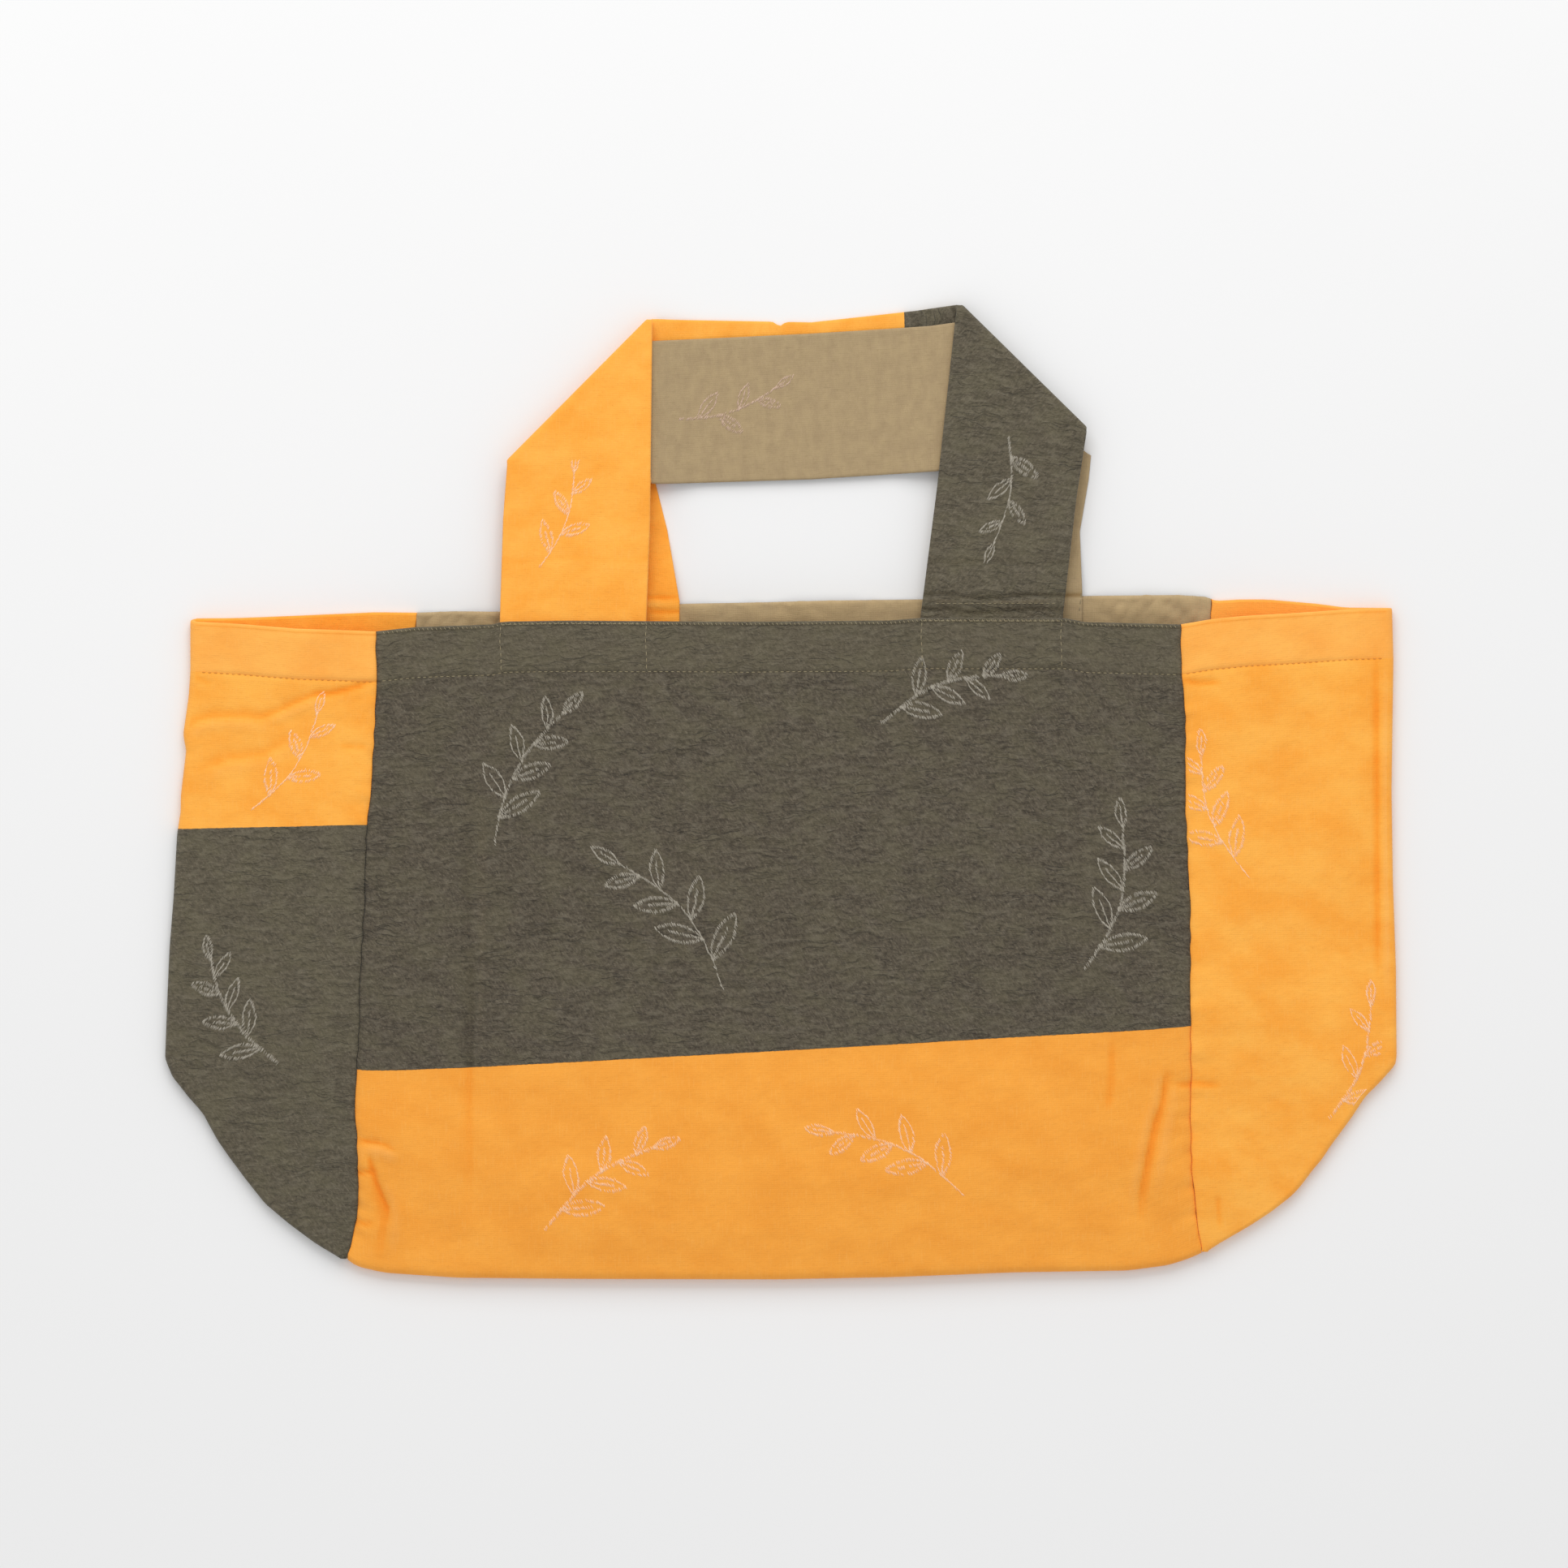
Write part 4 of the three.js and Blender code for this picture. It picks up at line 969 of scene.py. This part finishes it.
def sewing_thread(name, colour):
    """Twisted cotton, matt and slightly hairy. Its ply shows as specks of shade 0.6 mm apart, which is
    coarser than the real twist, so that they show."""
    material, tree = new_material(name)
    place = add_node(tree, "TexCoord").outputs["Object"]
    ply = add_node(tree, "TexNoise", {"Vector": place, "Scale": 1800.0, "Detail": 2.0}).outputs["Fac"]
    shade = tinted(tree, linear(colour), linear("#7A6440"), ply, 0.35, 0.65, 0.4)
    bump = add_node(tree, "Bump", {"Height": ply, "Strength": 0.6, "Distance": 0.0001})
    shader = add_node(tree, "BsdfPrincipled", {
        "Base Color": shade, "Normal": bump.outputs["Normal"], "Roughness": 0.8,
        "Specular IOR Level": 0.2, "Sheen Weight": 0.15, "Sheen Roughness": 0.5})
    add_node(tree, "OutputMaterial", {"Surface": shader.outputs["BSDF"]})
    return material


# Tan on the dark cloth, duller on the orange.
tan_thread = sewing_thread("tan_sewing_thread", "#968C70")
dull_thread = sewing_thread("orange_sewing_thread", "#E0993F")


def stitch_piece(name, rows, places, material, breadth=0.42):
    """One mesh of all the stitches in some rows, laid on the cloth that places finds."""
    centres = []
    facings = []
    for row in rows:
        u, v, lift = stitches(*row)
        place, up = places(u, v)
        centres.append(place + up * lift[..., None])
        facings.append(up)
    points, faces = thread_mesh(np.concatenate(centres), np.concatenate(facings), breadth, 0.34)
    piece = make_object(name, points, faces, [material])
    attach(piece, "root")
    return piece


overcast = [((u, 0.3), (u + 0.9, 1.8)) for u in np.arange(-172.0, 172.0, 1.9)]
mouth_stitches = stitch_piece("mouth_overcast_stitches", overcast, on_panel, tan_thread, 0.38)
hem_front = [((-173.0, hem_stitch_depth), (173.0, hem_stitch_depth))]
for low, high in ((-120.9, -57.7), (62.2, 122.8)):
    hem_front += [((low, 1.4), (low, 21.0)), ((high, 1.4), (high, 21.0)), ((low, 1.2), (high, 1.2))]
panel_stitches = stitch_piece("hem_stitches_front", hem_front, on_panel, tan_thread)
for name, width in (("left_wing", 76.0), ("right_wing", 87.0)):
    stitch_piece(
        "hem_stitches_" + name, [((1.6, hem_stitch_depth), (width, hem_stitch_depth))],
        lambda u, v, name=name: on_wing(name, u, v), dull_thread, 0.24)
# The straps' rows are given by x and by height above the nominal mouth line.
foot_stitches = [
    stitch_piece(name + "_stitches", [row],
                 lambda x, up, name=name: on_strap(name, [2], x, up + mouth_y), tan_thread, 0.34)
    for name, row in (("front_strap", ((66.0, 7.8), (118.5, 7.8))),
                      ("back_strap", ((128.5, 4.0), (129.5, 12.8))))]

# Woven ornament. Long floats of a pale second weft lie on the face and draw sprigs of leaves, grey on
# the dark cloth, peach on the orange and rosy on the khaki. Each float is one slanting thread.
float_pitch = 0.55
float_length = 1.9
float_turn = 62.0


def leafy_sprig(height, pairs, bow):
    """Points float_pitch apart along the lines of a sprig: a stem with a sideways bow, leaves in turn
    on both sides and one at the tip. Each leaf is a midrib between two arcs, whose bulge is close to a
    half sine."""
    t = np.linspace(0, 1, 80)
    stem = np.stack([bow * np.sin(np.pi * t), height * t], -1)
    lines = [stem]
    for k in range(2 * pairs + 1):
        at = 0.18 + 0.82 * k / (2 * pairs)
        base = np.array([np.interp(at, t, stem[:, axis]) for axis in (0, 1)])
        side = 0 if k == 2 * pairs else (1 if k % 2 else -1)
        heading = np.arctan2(height, bow * np.pi * np.cos(np.pi * at)) - side * np.radians(48)
        length = height * (0.34 - 0.14 * at)
        onward = np.array([np.cos(heading), np.sin(heading)])
        aside = np.array([-onward[1], onward[0]])
        for bulge in (-0.17, 0.17):
            arc = bulge * length * np.sin(np.pi * t) ** 0.85
            lines.append(base + np.outer(t * length, onward) + np.outer(arc, aside))
        lines.append(base + np.outer(t[:56] * length, onward))
    spots = []
    for line in lines:
        run = np.concatenate([[0], np.linalg.norm(np.diff(line, axis=0), axis=1).cumsum()])
        at = np.arange(0, run[-1], float_pitch)
        spots.append(np.stack([np.interp(at, run, line[:, axis]) for axis in (0, 1)], -1))
    return np.concatenate(spots)


def woven_sprigs(name, sprigs, places, tone_at, seed, inside):
    """One mesh of floats for some sprigs, given as (u, v, height, pairs, bow, turn). Floats that fall
    outside the cloth or at random, one in seven, are left out, as worn ones are."""
    rng = np.random.default_rng(seed)
    spots = []
    for u, v, height, pairs, bow, turn in sprigs:
        drawn = leafy_sprig(height, pairs, bow)
        c, s = np.cos(np.radians(turn)), np.sin(np.radians(turn))
        spots.append(np.array([u, v]) + drawn @ np.array([(c, s), (-s, c)]))
    spots = np.concatenate(spots)
    spots = spots[inside(spots[:, 0], spots[:, 1]) & (rng.uniform(size=len(spots)) > 0.14)]
    spots = spots + rng.normal(0, 0.12, spots.shape)
    heading = np.radians(float_turn + rng.normal(0, 7, len(spots)))
    half = 0.5 * float_length * rng.uniform(0.7, 1.2, len(spots))
    step = np.array([-1.0, 0.0, 1.0])[None, :]
    u = spots[:, :1] + (half * np.cos(heading))[:, None] * step
    v = spots[:, 1:] + (half * np.sin(heading))[:, None] * step
    place, up = places(u, v)
    lift = np.array([-0.02, 0.10, -0.02])[None, :, None]
    points, faces = thread_mesh(place + up * lift, up, 0.38, 0.20)
    tone = np.repeat(tone_at(spots[:, 0], spots[:, 1]), len(points) // len(spots))
    piece = make_object(name, points, faces, [float_thread], tone=tone)
    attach(piece, "root")
    return piece


# Soft untwisted cotton weft with a little shine, uneven over about 1.5 mm. The point attribute tone is
# 0 for grey, 1 for peach and 2 for rosy.
float_thread, tree = new_material("pale_weft_floats")
tone = add_node(tree, "Attribute", attribute_name="tone").outputs["Fac"]
place = add_node(tree, "TexCoord").outputs["Object"]
uneven = add_node(tree, "TexNoise", {"Vector": place, "Scale": 700.0, "Detail": 2.0}).outputs["Fac"]
pale = tinted(tree, linear("#ABA496"), linear("#FFCFA4"), tone, 0.0, 1.0)
pale = tinted(tree, pale, linear("#CDB19C"), tone, 1.0, 2.0)
low = tinted(tree, linear("#7F7868"), linear("#FFB568"), tone, 0.0, 1.0)
low = tinted(tree, low, linear("#A98F70"), tone, 1.0, 2.0)
shade = tinted(tree, pale, low, uneven, 0.42, 0.68, 0.7)
shader = add_node(tree, "BsdfPrincipled", {
    "Base Color": shade, "Roughness": 0.7, "Specular IOR Level": 0.25, "Sheen Weight": 0.2,
    "Sheen Roughness": 0.4})
add_node(tree, "OutputMaterial", {"Surface": shader.outputs["BSDF"]})


def panel_tone(u, v):
    """Peach where the front is orange."""
    return (v > panel_change + panel_slope * u).astype(float)


# v grows downwards on the body, so a turn of 180 degrees stands a sprig upright.
panel_sprigs = woven_sprigs("woven_sprigs_front", [
    (-120, 96, 62, 3, 7, 205), (-22, 158, 70, 3, -8, 140), (44, 44, 56, 3, 6, 250),
    (130, 150, 64, 3, -7, 196), (-96, 262, 58, 3, 6, 232), (78, 248, 60, 3, -7, 118)],
    on_panel, panel_tone, 31, lambda u, v: (np.abs(u) < 173) & (v > 3) & (v < 272))
left_dark = 89.0  # mm below the mouth, where the left wing turns dark
left_sprigs = woven_sprigs("woven_sprigs_left_wing", [
    (50, 80, 50, 2, 5, 150), (34, 190, 54, 3, -6, 215)],
    lambda u, v: on_wing("left_wing", u, v), lambda u, v: (v < left_dark).astype(float), 32,
    lambda u, v: (u > 1.5) & (u < 78) & (v < 250))
right_sprigs = woven_sprigs("woven_sprigs_right_wing", [
    (26, 110, 56, 3, 6, 160), (60, 214, 52, 2, -5, 200)],
    lambda u, v: on_wing("right_wing", u, v), lambda u, v: 1.0 + 0 * u, 33,
    lambda u, v: (u > 1.5) & (u < 82) & (v < 250))
for name, parts, tone_value, sprigs, bounds in (
        ("woven_sprigs_left_leg", [0], 1.0, [(-104, 96, 44, 2, 4, -20)], (-119, -60, 78, 142)),
        ("woven_sprigs_right_leg", [2], 0.0, [(98, 152, 46, 2, -4, 172)], (66, 124, 88, 165)),
        ("woven_sprigs_reverse", [1], 2.0, [(-44, 160, 44, 2, 4, -72)], (-54, 62, 141, 196))):
    woven_sprigs(
        name, sprigs, lambda x, y, parts=parts: on_strap("front_strap", parts, x, y),
        lambda x, y, value=tone_value: value + 0 * x, 34 + parts[0],
        lambda x, y, b=bounds: (x > b[0]) & (x < b[1]) & (y > b[2]) & (y < b[3]))
